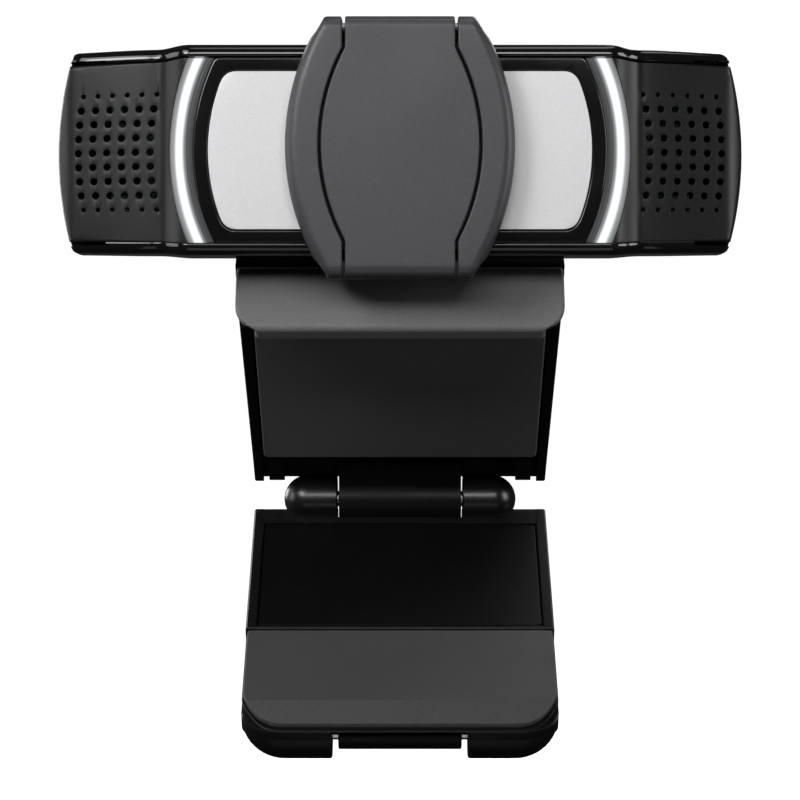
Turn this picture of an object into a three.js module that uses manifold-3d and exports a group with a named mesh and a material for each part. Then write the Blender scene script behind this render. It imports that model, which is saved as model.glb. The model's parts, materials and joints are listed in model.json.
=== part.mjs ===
// Wide-angle USB webcam with a flip privacy shutter, on a fold-out monitor clip.
// Millimetres, +Z up, the lens looks along -Y. The origin is the middle of the clip's grip pad,
// the face that rests on top of a monitor.
//
// Frames, each a THREE.Group:
//   head   y = 0 on the front glass, z = 0 at the middle of the body
//   plate  y along the clip plate from the lip to the hinge, z = 0 on the plate's underside
//   leg    origin on the leg's hinge axis; the leg runs along -y, its inner face looks along +z
//   foot   origin on the foot's hinge axis, parallel to the leg's frame
import * as THREE from "three";
import { mergeVertices } from "three/addons/utils/BufferGeometryUtils.js";
import Module from "manifold-3d";

// ---------------------------------------------------------------- driving dimensions
const GAP = 0.3; // between pieces that touch in the real object

// camera head
const END_RADIUS = 47; // the ends of the body are arcs about the lens axis
const HALF_HEIGHT = 14.35;
const DEPTH = 24;
const WALL = 1.75;
const BACK_CENTRE = 9.65; // the back is half a cylinder about this line
const CORNER_START = 12.5; // where the ends begin to round towards the back
const FRONT_EDGE = 1.5; // radius of the long front edges
const STEP_START = 28.5; // where the wings step back from the middle
const STEP_END = 33;
const STEP_DEPTH = 2.8;
const WING_SWEEP = 2.9; // further step back at SWEEP_END
const SWEEP_END = 44.5;
const FACE_HALF = HALF_HEIGHT - WALL - GAP; // half height of the parts inside the rim
const BEZEL_RADIUS = 28.9;
const BEZEL_THICK = 2;
const PLATE_RADIUS = 25.85;
const PLATE_HALF = 10.65;
const PLATE_THICK = 0.45;
const LENS_HOLE = 9;
const WINDOW_RADIUS = 7;
const BAR_INNER = 29.2;
const BAR_OUTER = 30.5;
const GRILLE_INNER = 31.1;
const GRILLE_OUTER = END_RADIUS - 0.05;
const GRILLE_SEAT = 8.3; // the end walls start behind the grilles
const GRILLE_THICK = 1.2;
const GRILLE_PITCH = 2;
const GRILLE_COLUMNS = 6;
const GRILLE_FIRST = 33.9;
const GRILLE_ROWS = 4; // rows above and below the middle row
const CHASSIS_SCREW = { x: 22, z: 8.5 };
const PILOT_RADIUS = 1.1; // holes for the screws
const BOARD_SCREW_X = 31;
const BOARD_FRONT = 11.6;
const BOARD_BACK = 12.8;
const MIC_X = 38.5;
const GLAND_X = -14;

// head tilt hinge, in the head frame
const TILT = { y: 18.5, z: -15.6 };
const TILT_LUG = { inner: 5.8, outer: 8.8, radius: 2.3 };
const TILT_PIN = { radius: 0.9, hole: 1.2, half: 8.6 };

// privacy shutter, in the head frame
const SHUTTER_FRONT = -4;
const SHUTTER_TOP = 17.7;
const SHUTTER_BOTTOM = -17.4;
const SHUTTER_CENTRE = 0.5; // height of the middle of its arcs
const SHUTTER_SIDE = { reach: 15.4, radius: 31.8 }; // outer arc of the frame
const SHUTTER_HOOK = 9.5; // how far back the frame reaches over the body
const SHUTTER_WRAP = HALF_HEIGHT + 0.35; // the frame's faces over and under the body
const SEAM = { straight: 7.35, reach: 10.58, half: 12.85 }; // edge of the flap
const SEAM_GAP = 0.4;
const FLAP_THICK = 2;
const FLAP_HINGE = { y: -2.5, z: 16.2, radius: 1.5 };
const FLAP_PIN = { radius: 0.6, hole: 0.85, half: 9.6 };
const FELT = { radius: 8.8, back: -0.8 };

// clip
const CLIP_HALF_WIDTH = 22.3;
const CLIP_TILT = THREE.MathUtils.degToRad(31);
const CLIP_CORNER = { y: 10.8, z: -18.75 }; // head frame: inner lip face meets the underside
const LIP_DROP = 7.5;
const LIP_THICK = 2.5;
const LIP_CORNER = 4.2;
const LIP_TOP = 0.75; // centre of the round top edge of the lip
const PLATE_FRONT_THICK = 4;
const PLATE_BACK_THICK = 5.5;
const PLATE_FLAT = 16; // the plate's top is flat up to here, then thickens
const PAD_END = 45.3;
const PAD_HALF = 20.6;
const PAD_PROUD = 0.3;
const LIP_SKIN = 1.1; // wall of the lip cover
const LIP_PAD = { half: 16.7, low: -5.1, high: -1.7 };
const RIDGE = { inner: 10, outer: 22.9 }; // the cradle under the body, beside the lugs
const NECK_SCREW = { x: 6.8, u: 10.8 };
const NECK_HALF = 4.6;
const NECK_FLANGE = 1.3;

// leg hinge, in the plate frame
const HINGE = { y: 57.5, z: -0.6 };
const KNUCKLE_RADIUS = 3.9;
const KNUCKLE_HALF = 9.2;
const BALL_RADIUS = 3.7;
const BALL_CENTRE = 14.2;
const LEG_PIN = { radius: 1.2, hole: 1.5, half: 16.4 };
const FRICTION_CLIP_RADIUS = 2.4;
const OPEN_ANGLE = 2 * CLIP_TILT; // between plate and leg as it stands
const ROOF_REACH = 1.2; // how far the plate's roof reaches past the hinge axis

// leg: s is the distance from its hinge along the leg, w the height over the hinge axis
const LEG_TOP = -0.6;
const LEG_BOTTOM = -8;
const LEG_START = 1.8;
const FOOT_START = 34.6;
const FOOT_FLOOR = -3.8;
const LEG_END = 49.2;
const REBATE = { half: 20, start: 7, end: 48.7, w: -6.2 }; // seat of the bottom cover
const PANEL_RECESS = { half: 20.9, start: 6, end: 33, w: -1.4 };
const TRIPOD = { s: 22, outer: 4.2, bore: 2.65 };
const COVER_SCREW = { x: 16.5, s: [11, 45] };

// foot hinge, in s and w of the leg
const FOOT_HINGE = { s: 53, w: -5 };
const LOBE_RADIUS = 3.4;
const TAB_RADIUS = 2.1;
const TAB_HALF = 8.65;
const LOBE_INNER = 9.45;
const FOOT_CORNER = 6.2;
const FOOT_PIN = { radius: 0.8, hole: 1.1, half: 20 };

// ---------------------------------------------------------------- materials
const finish = (color, roughness, metalness = 0) =>
  new THREE.MeshStandardMaterial({ color, roughness, metalness });
const glossBlack = finish(0x0b0b0d, 0.12);
const satinBlack = finish(0x1b1b1d, 0.45);
const grilleGrey = finish(0x3c3c3f, 0.6);
const shutterGrey = finish(0x505054, 0.5);
const silver = finish(0xdfe0e3, 0.32, 0.85);
const lightGuide = finish(0xf8fafc, 0.3);
const glass = finish(0x15181c, 0.04);
const rubber = finish(0x3c3c3c, 0.85);
const lipGrey = finish(0x626264, 0.7);
const steel = finish(0xb9bcc0, 0.3, 1);
const brass = finish(0xc8a24a, 0.3, 1);
const boardGreen = finish(0x1d4a33, 0.5);
const chipBlack = finish(0x17181a, 0.5);
const felt = finish(0x202022, 0.95);

// ---------------------------------------------------------------- solids
const wasm = await Module();
wasm.setup();
const ROUND = 28; // sides of a large round
const SMALL_ROUND = 12;

function solidFrom(geometry) {
  geometry.deleteAttribute("normal");
  geometry.deleteAttribute("uv");
  const merged = mergeVertices(geometry, 1e-4);
  return new wasm.Manifold(
    new wasm.Mesh({
      numProp: 3,
      vertProperties: merged.attributes.position.array,
      triVerts: new Uint32Array(merged.index.array),
    }),
  );
}

const join = (first, ...others) => others.reduce((a, b) => a.add(b), first);
const cut = (first, ...tools) => tools.reduce((a, b) => a.subtract(b), first);
const meet = (first, ...others) => others.reduce((a, b) => a.intersect(b), first);

// An outline with points [a, b], where a point [a, b, radius] has its corner rounded.
function outline(points) {
  const at = (i) => points[(i + points.length) % points.length];
  const shape = new THREE.Shape();
  points.forEach(([x, y, radius = 0], i) => {
    const corner = new THREE.Vector2(x, y);
    const towards = (j) => new THREE.Vector2(at(j)[0], at(j)[1]).sub(corner).normalize();
    if (!radius) {
      if (i === 0) shape.moveTo(x, y);
      else shape.lineTo(x, y);
      return;
    }
    const half = towards(i - 1).angleTo(towards(i + 1)) / 2;
    const reach = radius / Math.tan(half);
    const start = corner.clone().addScaledVector(towards(i - 1), reach);
    const end = corner.clone().addScaledVector(towards(i + 1), reach);
    if (i === 0) shape.moveTo(start.x, start.y);
    else shape.lineTo(start.x, start.y);
    const inward = towards(i - 1).add(towards(i + 1)).normalize();
    const centre = corner.clone().addScaledVector(inward, radius / Math.sin(half));
    arcPoints(centre, start, end).forEach((p) => shape.lineTo(p.x, p.y));
  });
  return shape;
}

// Points of the shorter arc about centre after start, up to and with end.
function arcPoints(centre, start, end, steps = 5) {
  const radius = start.distanceTo(centre);
  const from = Math.atan2(start.y - centre.y, start.x - centre.x);
  let turn = Math.atan2(end.y - centre.y, end.x - centre.x) - from;
  if (turn > Math.PI) turn -= 2 * Math.PI;
  if (turn < -Math.PI) turn += 2 * Math.PI;
  return Array.from({ length: steps }, (_, i) => {
    const angle = from + (turn * (i + 1)) / steps;
    return new THREE.Vector2(
      centre.x + radius * Math.cos(angle),
      centre.y + radius * Math.sin(angle),
    );
  });
}

const X = new THREE.Vector3(1, 0, 0);
const Y = new THREE.Vector3(0, 1, 0);
const Z = new THREE.Vector3(0, 0, 1);

function extrude(shape, depth, basis, offset) {
  const geometry = new THREE.ExtrudeGeometry(shape, {
    depth,
    bevelEnabled: false,
    curveSegments: 12,
  });
  geometry.applyMatrix4(basis);
  geometry.translate(offset.x, offset.y, offset.z);
  return solidFrom(geometry);
}

// Outlines in (y, z) extruded along X, in (x, z) along Y, and in (x, y) along Z.
const alongX = (shape, x0, x1) =>
  extrude(shape, x1 - x0, new THREE.Matrix4().makeBasis(Y, Z, X), X.clone().multiplyScalar(x0));
const alongY = (shape, y0, y1) =>
  extrude(
    shape,
    y1 - y0,
    new THREE.Matrix4().makeBasis(X, Z, Y.clone().negate()),
    Y.clone().multiplyScalar(y1),
  );
const alongZ = (shape, z0, z1) =>
  extrude(shape, z1 - z0, new THREE.Matrix4(), Z.clone().multiplyScalar(z0));

function box([x0, x1], [y0, y1], [z0, z1]) {
  const geometry = new THREE.BoxGeometry(x1 - x0, y1 - y0, z1 - z0);
  geometry.translate((x0 + x1) / 2, (y0 + y1) / 2, (z0 + z1) / 2);
  return solidFrom(geometry);
}

function rod(axis, radius, [from, to], [a, b], sides = ROUND) {
  const geometry = new THREE.CylinderGeometry(radius, radius, to - from, sides);
  const middle = (from + to) / 2;
  if (axis === "x") geometry.rotateZ(-Math.PI / 2).translate(middle, a, b);
  if (axis === "y") geometry.translate(a, middle, b);
  if (axis === "z") geometry.rotateX(Math.PI / 2).translate(a, b, middle);
  return solidFrom(geometry);
}

// A ring or disc turned about a line parallel to Y through (x, z); profile points are [r, y].
function turned(profile, [x, z] = [0, 0], sides = ROUND) {
  const points = profile.map(([r, y]) => new THREE.Vector2(r, y));
  const geometry = new THREE.LatheGeometry(points, sides);
  geometry.translate(x, 0, z);
  const made = solidFrom(geometry);
  if (made.volume() > 0) return made;
  return solidFrom(new THREE.LatheGeometry(points.reverse(), sides).translate(x, 0, z));
}

function ball(radius, x) {
  const geometry = new THREE.SphereGeometry(radius, 24, 16);
  return solidFrom(geometry.rotateZ(Math.PI / 2).translate(x, 0, 0));
}

function addPiece(group, name, solid, material) {
  const mesh = solid.getMesh();
  const geometry = new THREE.BufferGeometry();
  geometry.setAttribute("position", new THREE.BufferAttribute(mesh.vertProperties, 3));
  geometry.setIndex(new THREE.BufferAttribute(mesh.triVerts, 1));
  geometry.computeVertexNormals();
  const piece = new THREE.Mesh(geometry, material);
  piece.name = name;
  group.add(piece);
  return piece;
}

// A screw along +y with its head's top at y = 0.
function screw(headRadius, headHeight, shankRadius, length) {
  return turned(
    [
      [0, 0],
      [headRadius, 0],
      [headRadius, headHeight],
      [shankRadius, headHeight],
      [shankRadius, length],
      [0, length],
    ],
    [0, 0],
    SMALL_ROUND,
  );
}

const SIDES = [
  ["left", -1],
  ["right", 1],
];
const mirror = (shape) => (side) => (side > 0 ? shape : flipped(shape));
function flipped(shape) {
  return new THREE.Shape(shape.getPoints(12).map((p) => new THREE.Vector2(-p.x, p.y)));
}

// ---------------------------------------------------------------- camera head
// How far back the front surface lies at x.
function frontSweep(x) {
  const reach = Math.abs(x);
  if (reach <= STEP_START) return 0;
  if (reach >= STEP_END) {
    return STEP_DEPTH + WING_SWEEP * ((reach - STEP_END) / (SWEEP_END - STEP_END)) ** 1.3;
  }
  const t = (reach - STEP_START) / (STEP_END - STEP_START);
  return STEP_DEPTH * t * t * (3 - 2 * t);
}

// Band between two arcs about the lens axis, on the +x side, in (x, z).
function arcBand(inner, outer, half) {
  const steps = 10;
  const column = (radius, sign) =>
    Array.from({ length: steps + 1 }, (_, i) => {
      const z = sign * half * ((2 * i) / steps - 1);
      return new THREE.Vector2(Math.sqrt(radius * radius - z * z), z);
    });
  return new THREE.Shape([...column(outer, 1), ...column(inner, -1)]);
}

// Shape with flat top and bottom and arcs about the lens axis as its ends, in (x, z).
function arcEnded(radius, half) {
  const steps = 14;
  const side = (sign) =>
    Array.from({ length: steps + 1 }, (_, i) => {
      const z = sign * half * ((2 * i) / steps - 1);
      return new THREE.Vector2(sign * Math.sqrt(radius * radius - z * z), z);
    });
  return new THREE.Shape([...side(1), ...side(-1)]);
}

function headOutside() {
  const side = new THREE.Shape();
  side.moveTo(0, -HALF_HEIGHT + FRONT_EDGE);
  side.absarc(FRONT_EDGE, -HALF_HEIGHT + FRONT_EDGE, FRONT_EDGE, Math.PI, 1.5 * Math.PI);
  side.absarc(BACK_CENTRE, 0, HALF_HEIGHT, -Math.PI / 2, Math.PI / 2);
  side.absarc(FRONT_EDGE, HALF_HEIGHT - FRONT_EDGE, FRONT_EDGE, Math.PI / 2, Math.PI);
  const plan = new THREE.Shape();
  const stations = [28.5, 29.6, 30.7, 31.8, 33, 37, 41, SWEEP_END, 46];
  plan.moveTo(0, 0);
  stations.forEach((x) => plan.lineTo(x, frontSweep(x)));
  plan.lineTo(END_RADIUS, 8.5);
  plan.lineTo(END_RADIUS, CORNER_START);
  plan.bezierCurveTo(END_RADIUS, 19, 40, DEPTH, 30, DEPTH);
  plan.lineTo(-30, DEPTH);
  plan.bezierCurveTo(-40, DEPTH, -END_RADIUS, 19, -END_RADIUS, CORNER_START);
  plan.lineTo(-END_RADIUS, 8.5);
  stations.reverse().forEach((x) => plan.lineTo(-x, frontSweep(x)));
  return meet(
    alongX(side, -END_RADIUS, END_RADIUS),
    alongZ(plan, -HALF_HEIGHT, HALF_HEIGHT),
    alongY(arcEnded(END_RADIUS, HALF_HEIGHT), 0, DEPTH),
  );
}

function headCavity() {
  const half = HALF_HEIGHT - WALL;
  const end = END_RADIUS - WALL;
  const open = -5; // well in front of the face
  const side = new THREE.Shape();
  side.moveTo(open, -half);
  side.lineTo(BACK_CENTRE, -half);
  side.absarc(BACK_CENTRE, 0, half, -Math.PI / 2, Math.PI / 2);
  side.lineTo(open, half);
  const plan = new THREE.Shape();
  plan.moveTo(-end, open);
  plan.lineTo(end, open);
  plan.lineTo(end, CORNER_START);
  plan.bezierCurveTo(end, 18.2, 39.3, DEPTH - WALL, 30, DEPTH - WALL);
  plan.lineTo(-30, DEPTH - WALL);
  plan.bezierCurveTo(-39.3, DEPTH - WALL, -end, 18.2, -end, CORNER_START);
  return meet(
    alongX(side, -end, end),
    alongZ(plan, -half, half),
    alongY(arcEnded(end, half), open, DEPTH),
  );
}

function rearHousing() {
  const outside = headOutside();
  const lugs = SIDES.map(([, side]) => {
    const { inner, outer, radius } = TILT_LUG;
    const span = side > 0 ? [inner, outer] : [-outer, -inner];
    return join(
      rod("x", radius, span, [TILT.y, TILT.z]),
      box(span, [TILT.y - radius, TILT.y + radius], [TILT.z, -8]),
    );
  });
  const end = END_RADIUS + 1;
  const grilleSeat = box([-end, end], [-1, GRILLE_SEAT], [-FACE_HALF - GAP, FACE_HALF + GAP]);
  const shell = cut(join(outside, ...lugs), headCavity(), grilleSeat);
  const posts = [];
  const holes = [];
  for (const [, side] of SIDES) {
    for (const level of [-1, 1]) {
      const place = [side * CHASSIS_SCREW.x, level * CHASSIS_SCREW.z];
      posts.push(rod("y", 2.2, [5.3, 22], place, SMALL_ROUND));
      holes.push(rod("y", PILOT_RADIUS, [5, 12], place, 12));
    }
    posts.push(rod("y", 2, [BOARD_BACK + GAP, DEPTH], [side * BOARD_SCREW_X, 0], SMALL_ROUND));
    holes.push(rod("y", PILOT_RADIUS, [BOARD_BACK, 18], [side * BOARD_SCREW_X, 0], 12));
  }
  return cut(
    join(shell, meet(join(...posts), outside)),
    ...holes,
    rod("y", 3, [19, 26], [GLAND_X, 0], 24),
    rod("x", TILT_PIN.hole, [-10, 10], [TILT.y, TILT.z], SMALL_ROUND),
  );
}

function frontBezel() {
  const pocket = 0.75;
  return cut(
    alongY(arcEnded(BEZEL_RADIUS, FACE_HALF), 0, BEZEL_THICK),
    alongY(arcEnded(PLATE_RADIUS + GAP, PLATE_HALF + GAP), -1, pocket),
    rod("y", LENS_HOLE, [-1, 3], [0, 0], 48),
  );
}

function facePlate() {
  return cut(
    alongY(arcEnded(PLATE_RADIUS, PLATE_HALF), 0, PLATE_THICK),
    rod("y", LENS_HOLE + 0.4, [-1, 3], [0, 0], 48),
  );
}

function grille(side) {
  const front = 0.25;
  const stations = [26, 28.5, 29.6, 30.7, 31.8, 33, 37, 41, SWEEP_END, END_RADIUS];
  const strip = new THREE.Shape([
    ...stations.map((x) => new THREE.Vector2(x, frontSweep(x) + front)),
    ...stations
      .slice()
      .reverse()
      .map((x) => new THREE.Vector2(x, frontSweep(x) + front + GRILLE_THICK)),
  ]);
  const band = arcBand(GRILLE_INNER, GRILLE_OUTER, FACE_HALF);
  let made = meet(
    alongZ(mirror(strip)(side), -FACE_HALF, FACE_HALF),
    alongY(mirror(band)(side), -1, 12),
  );
  for (let row = -GRILLE_ROWS; row <= GRILLE_ROWS; row += 1) {
    const z = row * GRILLE_PITCH;
    const radius = Math.abs(row) === GRILLE_ROWS ? 0.3 : 0.5;
    for (let column = 0; column < GRILLE_COLUMNS; column += 1) {
      const arc = GRILLE_FIRST + column * GRILLE_PITCH;
      const x = side * Math.sqrt(arc * arc - z * z);
      made = made.subtract(rod("y", radius, [-1, 10], [x, z], 6));
    }
  }
  return made;
}

function lensRing() {
  return turned([
    [7.3, 1.7],
    [7.3, 0.5],
    [6.5, 0.5],
    [6.5, 0.2],
    [8.2, -0.3],
    [8.7, -0.1],
    [8.7, 1.7],
    [7.3, 1.7],
  ]);
}

function focusHousing() {
  return cut(
    box([-8, 8], [3.4, 8.9], [-8, 8]),
    rod("y", 5.6, [3, 7.3], [0, 0]),
    rod("y", 4.4, [7, 9.5], [0, 0]),
  );
}

function lensBarrel() {
  return turned([
    [3.7, 2.4],
    [5.1, 2.4],
    [5.1, 6],
    [2.6, 6],
    [2.6, 4.3],
    [3.7, 4.3],
    [3.7, 2.4],
  ]);
}

function frontLens() {
  const radius = 3.4;
  const dome = [0, 0.25, 0.5, 0.75, 1].map((t) => [radius * t, 2.5 + 0.7 * t * t]);
  return turned([...dome, [radius, 4], [0, 4]], [0, 0], 24);
}

function cableGland() {
  return turned(
    [
      [2, 19.9],
      [3.9, 19.9],
      [3.9, 21.2],
      [2.7, 21.2],
      [2.7, 24.3],
      [4.1, 24.3],
      [4.1, 25.1],
      [3.2, 25.6],
      [2, 25.6],
      [2, 19.9],
    ],
    [GLAND_X, 0],
    24,
  );
}

function mainBoard() {
  const notches = [];
  for (const [, side] of SIDES) {
    for (const level of [-1, 1]) {
      const place = [side * CHASSIS_SCREW.x, level * CHASSIS_SCREW.z];
      notches.push(rod("y", 2.6, [BOARD_FRONT - 1, BOARD_BACK + 1], place, SMALL_ROUND));
    }
    const place = [side * BOARD_SCREW_X, 0];
    notches.push(rod("y", PILOT_RADIUS, [BOARD_FRONT - 1, BOARD_BACK + 1], place, 12));
  }
  return cut(box([-40, 40], [BOARD_FRONT, BOARD_BACK], [-9.5, 9.5]), ...notches);
}

function chassis() {
  const holes = [];
  for (const [, side] of SIDES) {
    for (const level of [-1, 1]) {
      const place = [side * CHASSIS_SCREW.x, level * CHASSIS_SCREW.z];
      holes.push(rod("y", PILOT_RADIUS, [3, 6], place, 12));
    }
  }
  return cut(
    box([-25.5, 25.5], [3.6, 5], [-11.8, 11.8]),
    box([-8.4, 8.4], [3, 6], [-8.4, 8.4]),
    ...holes,
  );
}

function buildHead() {
  const head = new THREE.Group();
  const put = (name, solid, material) => addPiece(head, name, solid, material);
  put("rear_housing", rearHousing(), glossBlack);
  put("front_bezel", frontBezel(), glossBlack);
  put("face_plate", facePlate(), silver);
  put("lens_ring", lensRing(), glossBlack);
  put("lens_window", rod("y", WINDOW_RADIUS, [0.8, 1.6], [0, 0]), glass);
  put("chassis", chassis(), satinBlack);
  put("focus_housing", focusHousing(), satinBlack);
  put("lens_barrel", lensBarrel(), satinBlack);
  put("front_lens", frontLens(), glass);
  put("infrared_filter", rod("y", 5, [6.5, 6.8], [0, 0], 24), glass);
  put("image_sensor", box([-3, 3], [8, 8.9], [-2.5, 2.5]), chipBlack);
  put("sensor_board", box([-9, 9], [9.2, 10], [-9, 9]), boardGreen);
  put("board_connector", box([-3, 3], [10.3, 11.3], [-1.5, 1.5]), satinBlack);
  put("main_board", mainBoard(), boardGreen);
  const chipBack = BOARD_BACK + GAP;
  put("processor_chip", box([6, 16], [chipBack, 14.1], [-5, 5]), chipBlack);
  put("cable_socket", box([GLAND_X - 5, GLAND_X + 5], [chipBack, 17.5], [-3, 3]), satinBlack);
  put("cable_gland", cableGland(), rubber);
  for (const [word, side] of SIDES) {
    const lightBar = arcBand(BAR_INNER, BAR_OUTER, FACE_HALF);
    const ledBoard = arcBand(28.2, 31.2, 10.5);
    put(`${word}_grille`, grille(side), grilleGrey);
    put(`${word}_light_bar`, alongY(mirror(lightBar)(side), 0.6, 3.6), lightGuide);
    put(`${word}_led_board`, alongY(mirror(ledBoard)(side), 4, 4.8), boardGreen);
    const middle = side * MIC_X;
    put(
      `${word}_mic_gasket`,
      cut(
        box([middle - 3, middle + 3], [6.6, 9.8], [-3, 3]),
        rod("y", 0.8, [6, 10], [middle, 0], 12),
      ),
      rubber,
    );
    put(
      `${word}_microphone`,
      box([middle - 1.9, middle + 1.9], [10.1, 11.3], [-1.5, 1.5]),
      steel,
    );
    const boardScrew = put(`${word}_board_screw`, screw(1.4, 0.9, 0.75, 6.5), steel);
    boardScrew.position.set(side * BOARD_SCREW_X, 10.3, 0);
    for (const [row, level] of [
      ["lower", -1],
      ["upper", 1],
    ]) {
      const one = put(`${row}_${word}_chassis_screw`, screw(1.5, 0.9, 0.75, 8), steel);
      one.position.set(side * CHASSIS_SCREW.x, 2.4, level * CHASSIS_SCREW.z);
    }
  }
  head.add(buildShutter());
  return head;
}

// ---------------------------------------------------------------- privacy shutter
// Half width of the flap at height z, widened by extra.
function seamX(z, extra = 0) {
  const { straight, reach, half } = SEAM;
  const level = z - SHUTTER_CENTRE;
  if (Math.abs(level) >= half) return straight + extra;
  const radius = (half * half + (reach - straight) ** 2) / (2 * (reach - straight));
  return reach - radius + Math.sqrt(radius * radius - level * level) + extra;
}

const seamLevels = () => {
  const steps = 12;
  const middle = Array.from(
    { length: steps + 1 },
    (_, i) => SHUTTER_CENTRE + SEAM.half * ((2 * i) / steps - 1),
  );
  return [SHUTTER_BOTTOM, ...middle, SHUTTER_TOP];
};

function shutterFrame() {
  const { reach, radius } = SHUTTER_SIDE;
  const sideX = (z) => reach - radius + Math.sqrt(radius * radius - (z - SHUTTER_CENTRE) ** 2);
  const levels = seamLevels();
  const pillar = new THREE.Shape([
    ...levels.map((z) => new THREE.Vector2(sideX(z), z)),
    ...levels
      .slice()
      .reverse()
      .map((z) => new THREE.Vector2(seamX(z, SEAM_GAP), z)),
  ]);
  const topHalf = sideX(SHUTTER_TOP);
  const bottomHalf = sideX(SHUTTER_BOTTOM);
  const near = SEAM.straight + SEAM_GAP;
  const sides = SIDES.map(([, side]) => {
    const span = side > 0 ? [near, topHalf] : [-topHalf, -near];
    return join(
      alongY(mirror(pillar)(side), SHUTTER_FRONT, -0.4),
      box(span, [SHUTTER_FRONT, SHUTTER_HOOK], [SHUTTER_WRAP, SHUTTER_TOP]),
    );
  });
  const bridgeFront = FLAP_HINGE.y + FLAP_HINGE.radius + SEAM_GAP;
  return cut(
    join(
      ...sides,
      box([-topHalf, topHalf], [bridgeFront, SHUTTER_HOOK], [SHUTTER_WRAP, SHUTTER_TOP - 1]),
      box([-bottomHalf, bottomHalf], [-1.6, 5.5], [SHUTTER_BOTTOM, -SHUTTER_WRAP]),
    ),
    rod("x", FLAP_PIN.hole, [-9.8, 9.8], [FLAP_HINGE.y, FLAP_HINGE.z], SMALL_ROUND),
  );
}

function shutterFlap() {
  const { y, z, radius } = FLAP_HINGE;
  const levels = seamLevels().map((level) => Math.min(level, z));
  const panel = new THREE.Shape([
    ...levels.map((level) => new THREE.Vector2(seamX(level), level)),
    ...levels
      .slice()
      .reverse()
      .map((level) => new THREE.Vector2(-seamX(level), level)),
  ]);
  return cut(
    join(
      alongY(panel, SHUTTER_FRONT, SHUTTER_FRONT + FLAP_THICK),
      rod("x", radius, [-SEAM.straight, SEAM.straight], [y, z], 24),
    ),
    rod("x", FLAP_PIN.hole, [-10, 10], [y, z], SMALL_ROUND),
  );
}

function buildShutter() {
  const shutter = new THREE.Group();
  const { half, radius } = FLAP_PIN;
  const pin = rod("x", radius, [-half, half], [FLAP_HINGE.y, FLAP_HINGE.z], SMALL_ROUND);
  const feltFront = SHUTTER_FRONT + FLAP_THICK + GAP;
  addPiece(shutter, "shutter_frame", shutterFrame(), shutterGrey);
  addPiece(shutter, "shutter_pin", pin, steel);
  addPiece(shutter, "shutter_flap", shutterFlap(), shutterGrey);
  addPiece(shutter, "flap_pad", rod("y", FELT.radius, [feltFront, FELT.back], [0, 0]), felt);
  return shutter;
}

// ---------------------------------------------------------------- clip plate
// The tilt hinge in the plate's frame.
const TILT_ON_PLATE = new THREE.Vector3(0, TILT.y - CLIP_CORNER.y, TILT.z - CLIP_CORNER.z)
  .applyAxisAngle(X, CLIP_TILT);

function lipProfile(radius, bottom, foot) {
  const shape = new THREE.Shape();
  shape.moveTo(0, bottom);
  shape.lineTo(LIP_TOP - radius, bottom);
  shape.absarc(LIP_TOP, LIP_TOP, radius, Math.PI, Math.PI / 2, true);
  foot.forEach(([u, v]) => shape.lineTo(u, v));
  return shape;
}

function roundBottomed(half, bottom, corner) {
  return outline([
    [-half, 20],
    [-half, bottom, corner],
    [half, bottom, corner],
    [half, 20],
  ]);
}

function frontLip() {
  const outer = LIP_TOP + LIP_THICK;
  const inner = outer - LIP_SKIN;
  const shape = new THREE.Shape();
  shape.moveTo(0, -LIP_DROP);
  shape.lineTo(-LIP_THICK, -LIP_DROP);
  shape.absarc(LIP_TOP, LIP_TOP, outer, Math.PI, Math.PI / 2, true);
  shape.absarc(LIP_TOP, LIP_TOP, inner, Math.PI / 2, Math.PI, false);
  shape.lineTo(LIP_TOP - inner, 1 - LIP_DROP);
  shape.lineTo(0, 1 - LIP_DROP);
  return meet(
    alongX(shape, -CLIP_HALF_WIDTH, CLIP_HALF_WIDTH),
    alongY(roundBottomed(CLIP_HALF_WIDTH, -LIP_DROP, LIP_CORNER), -10, 10),
  );
}

// Section of the cradle, which follows the round back of the body.
function ridgeProfile() {
  const front = LIP_TOP + GAP;
  const foot = PLATE_FRONT_THICK - 0.1;
  return outline([
    [front, foot],
    [front, PLATE_FRONT_THICK + GAP],
    [-0.2, PLATE_FRONT_THICK + GAP],
    [0.45, 5.46],
    [1.6, 7.43],
    [2.95, 9.07],
    [4.8, 9.8],
    [6.2, 8.6],
    [8, foot],
  ]);
}

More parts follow.
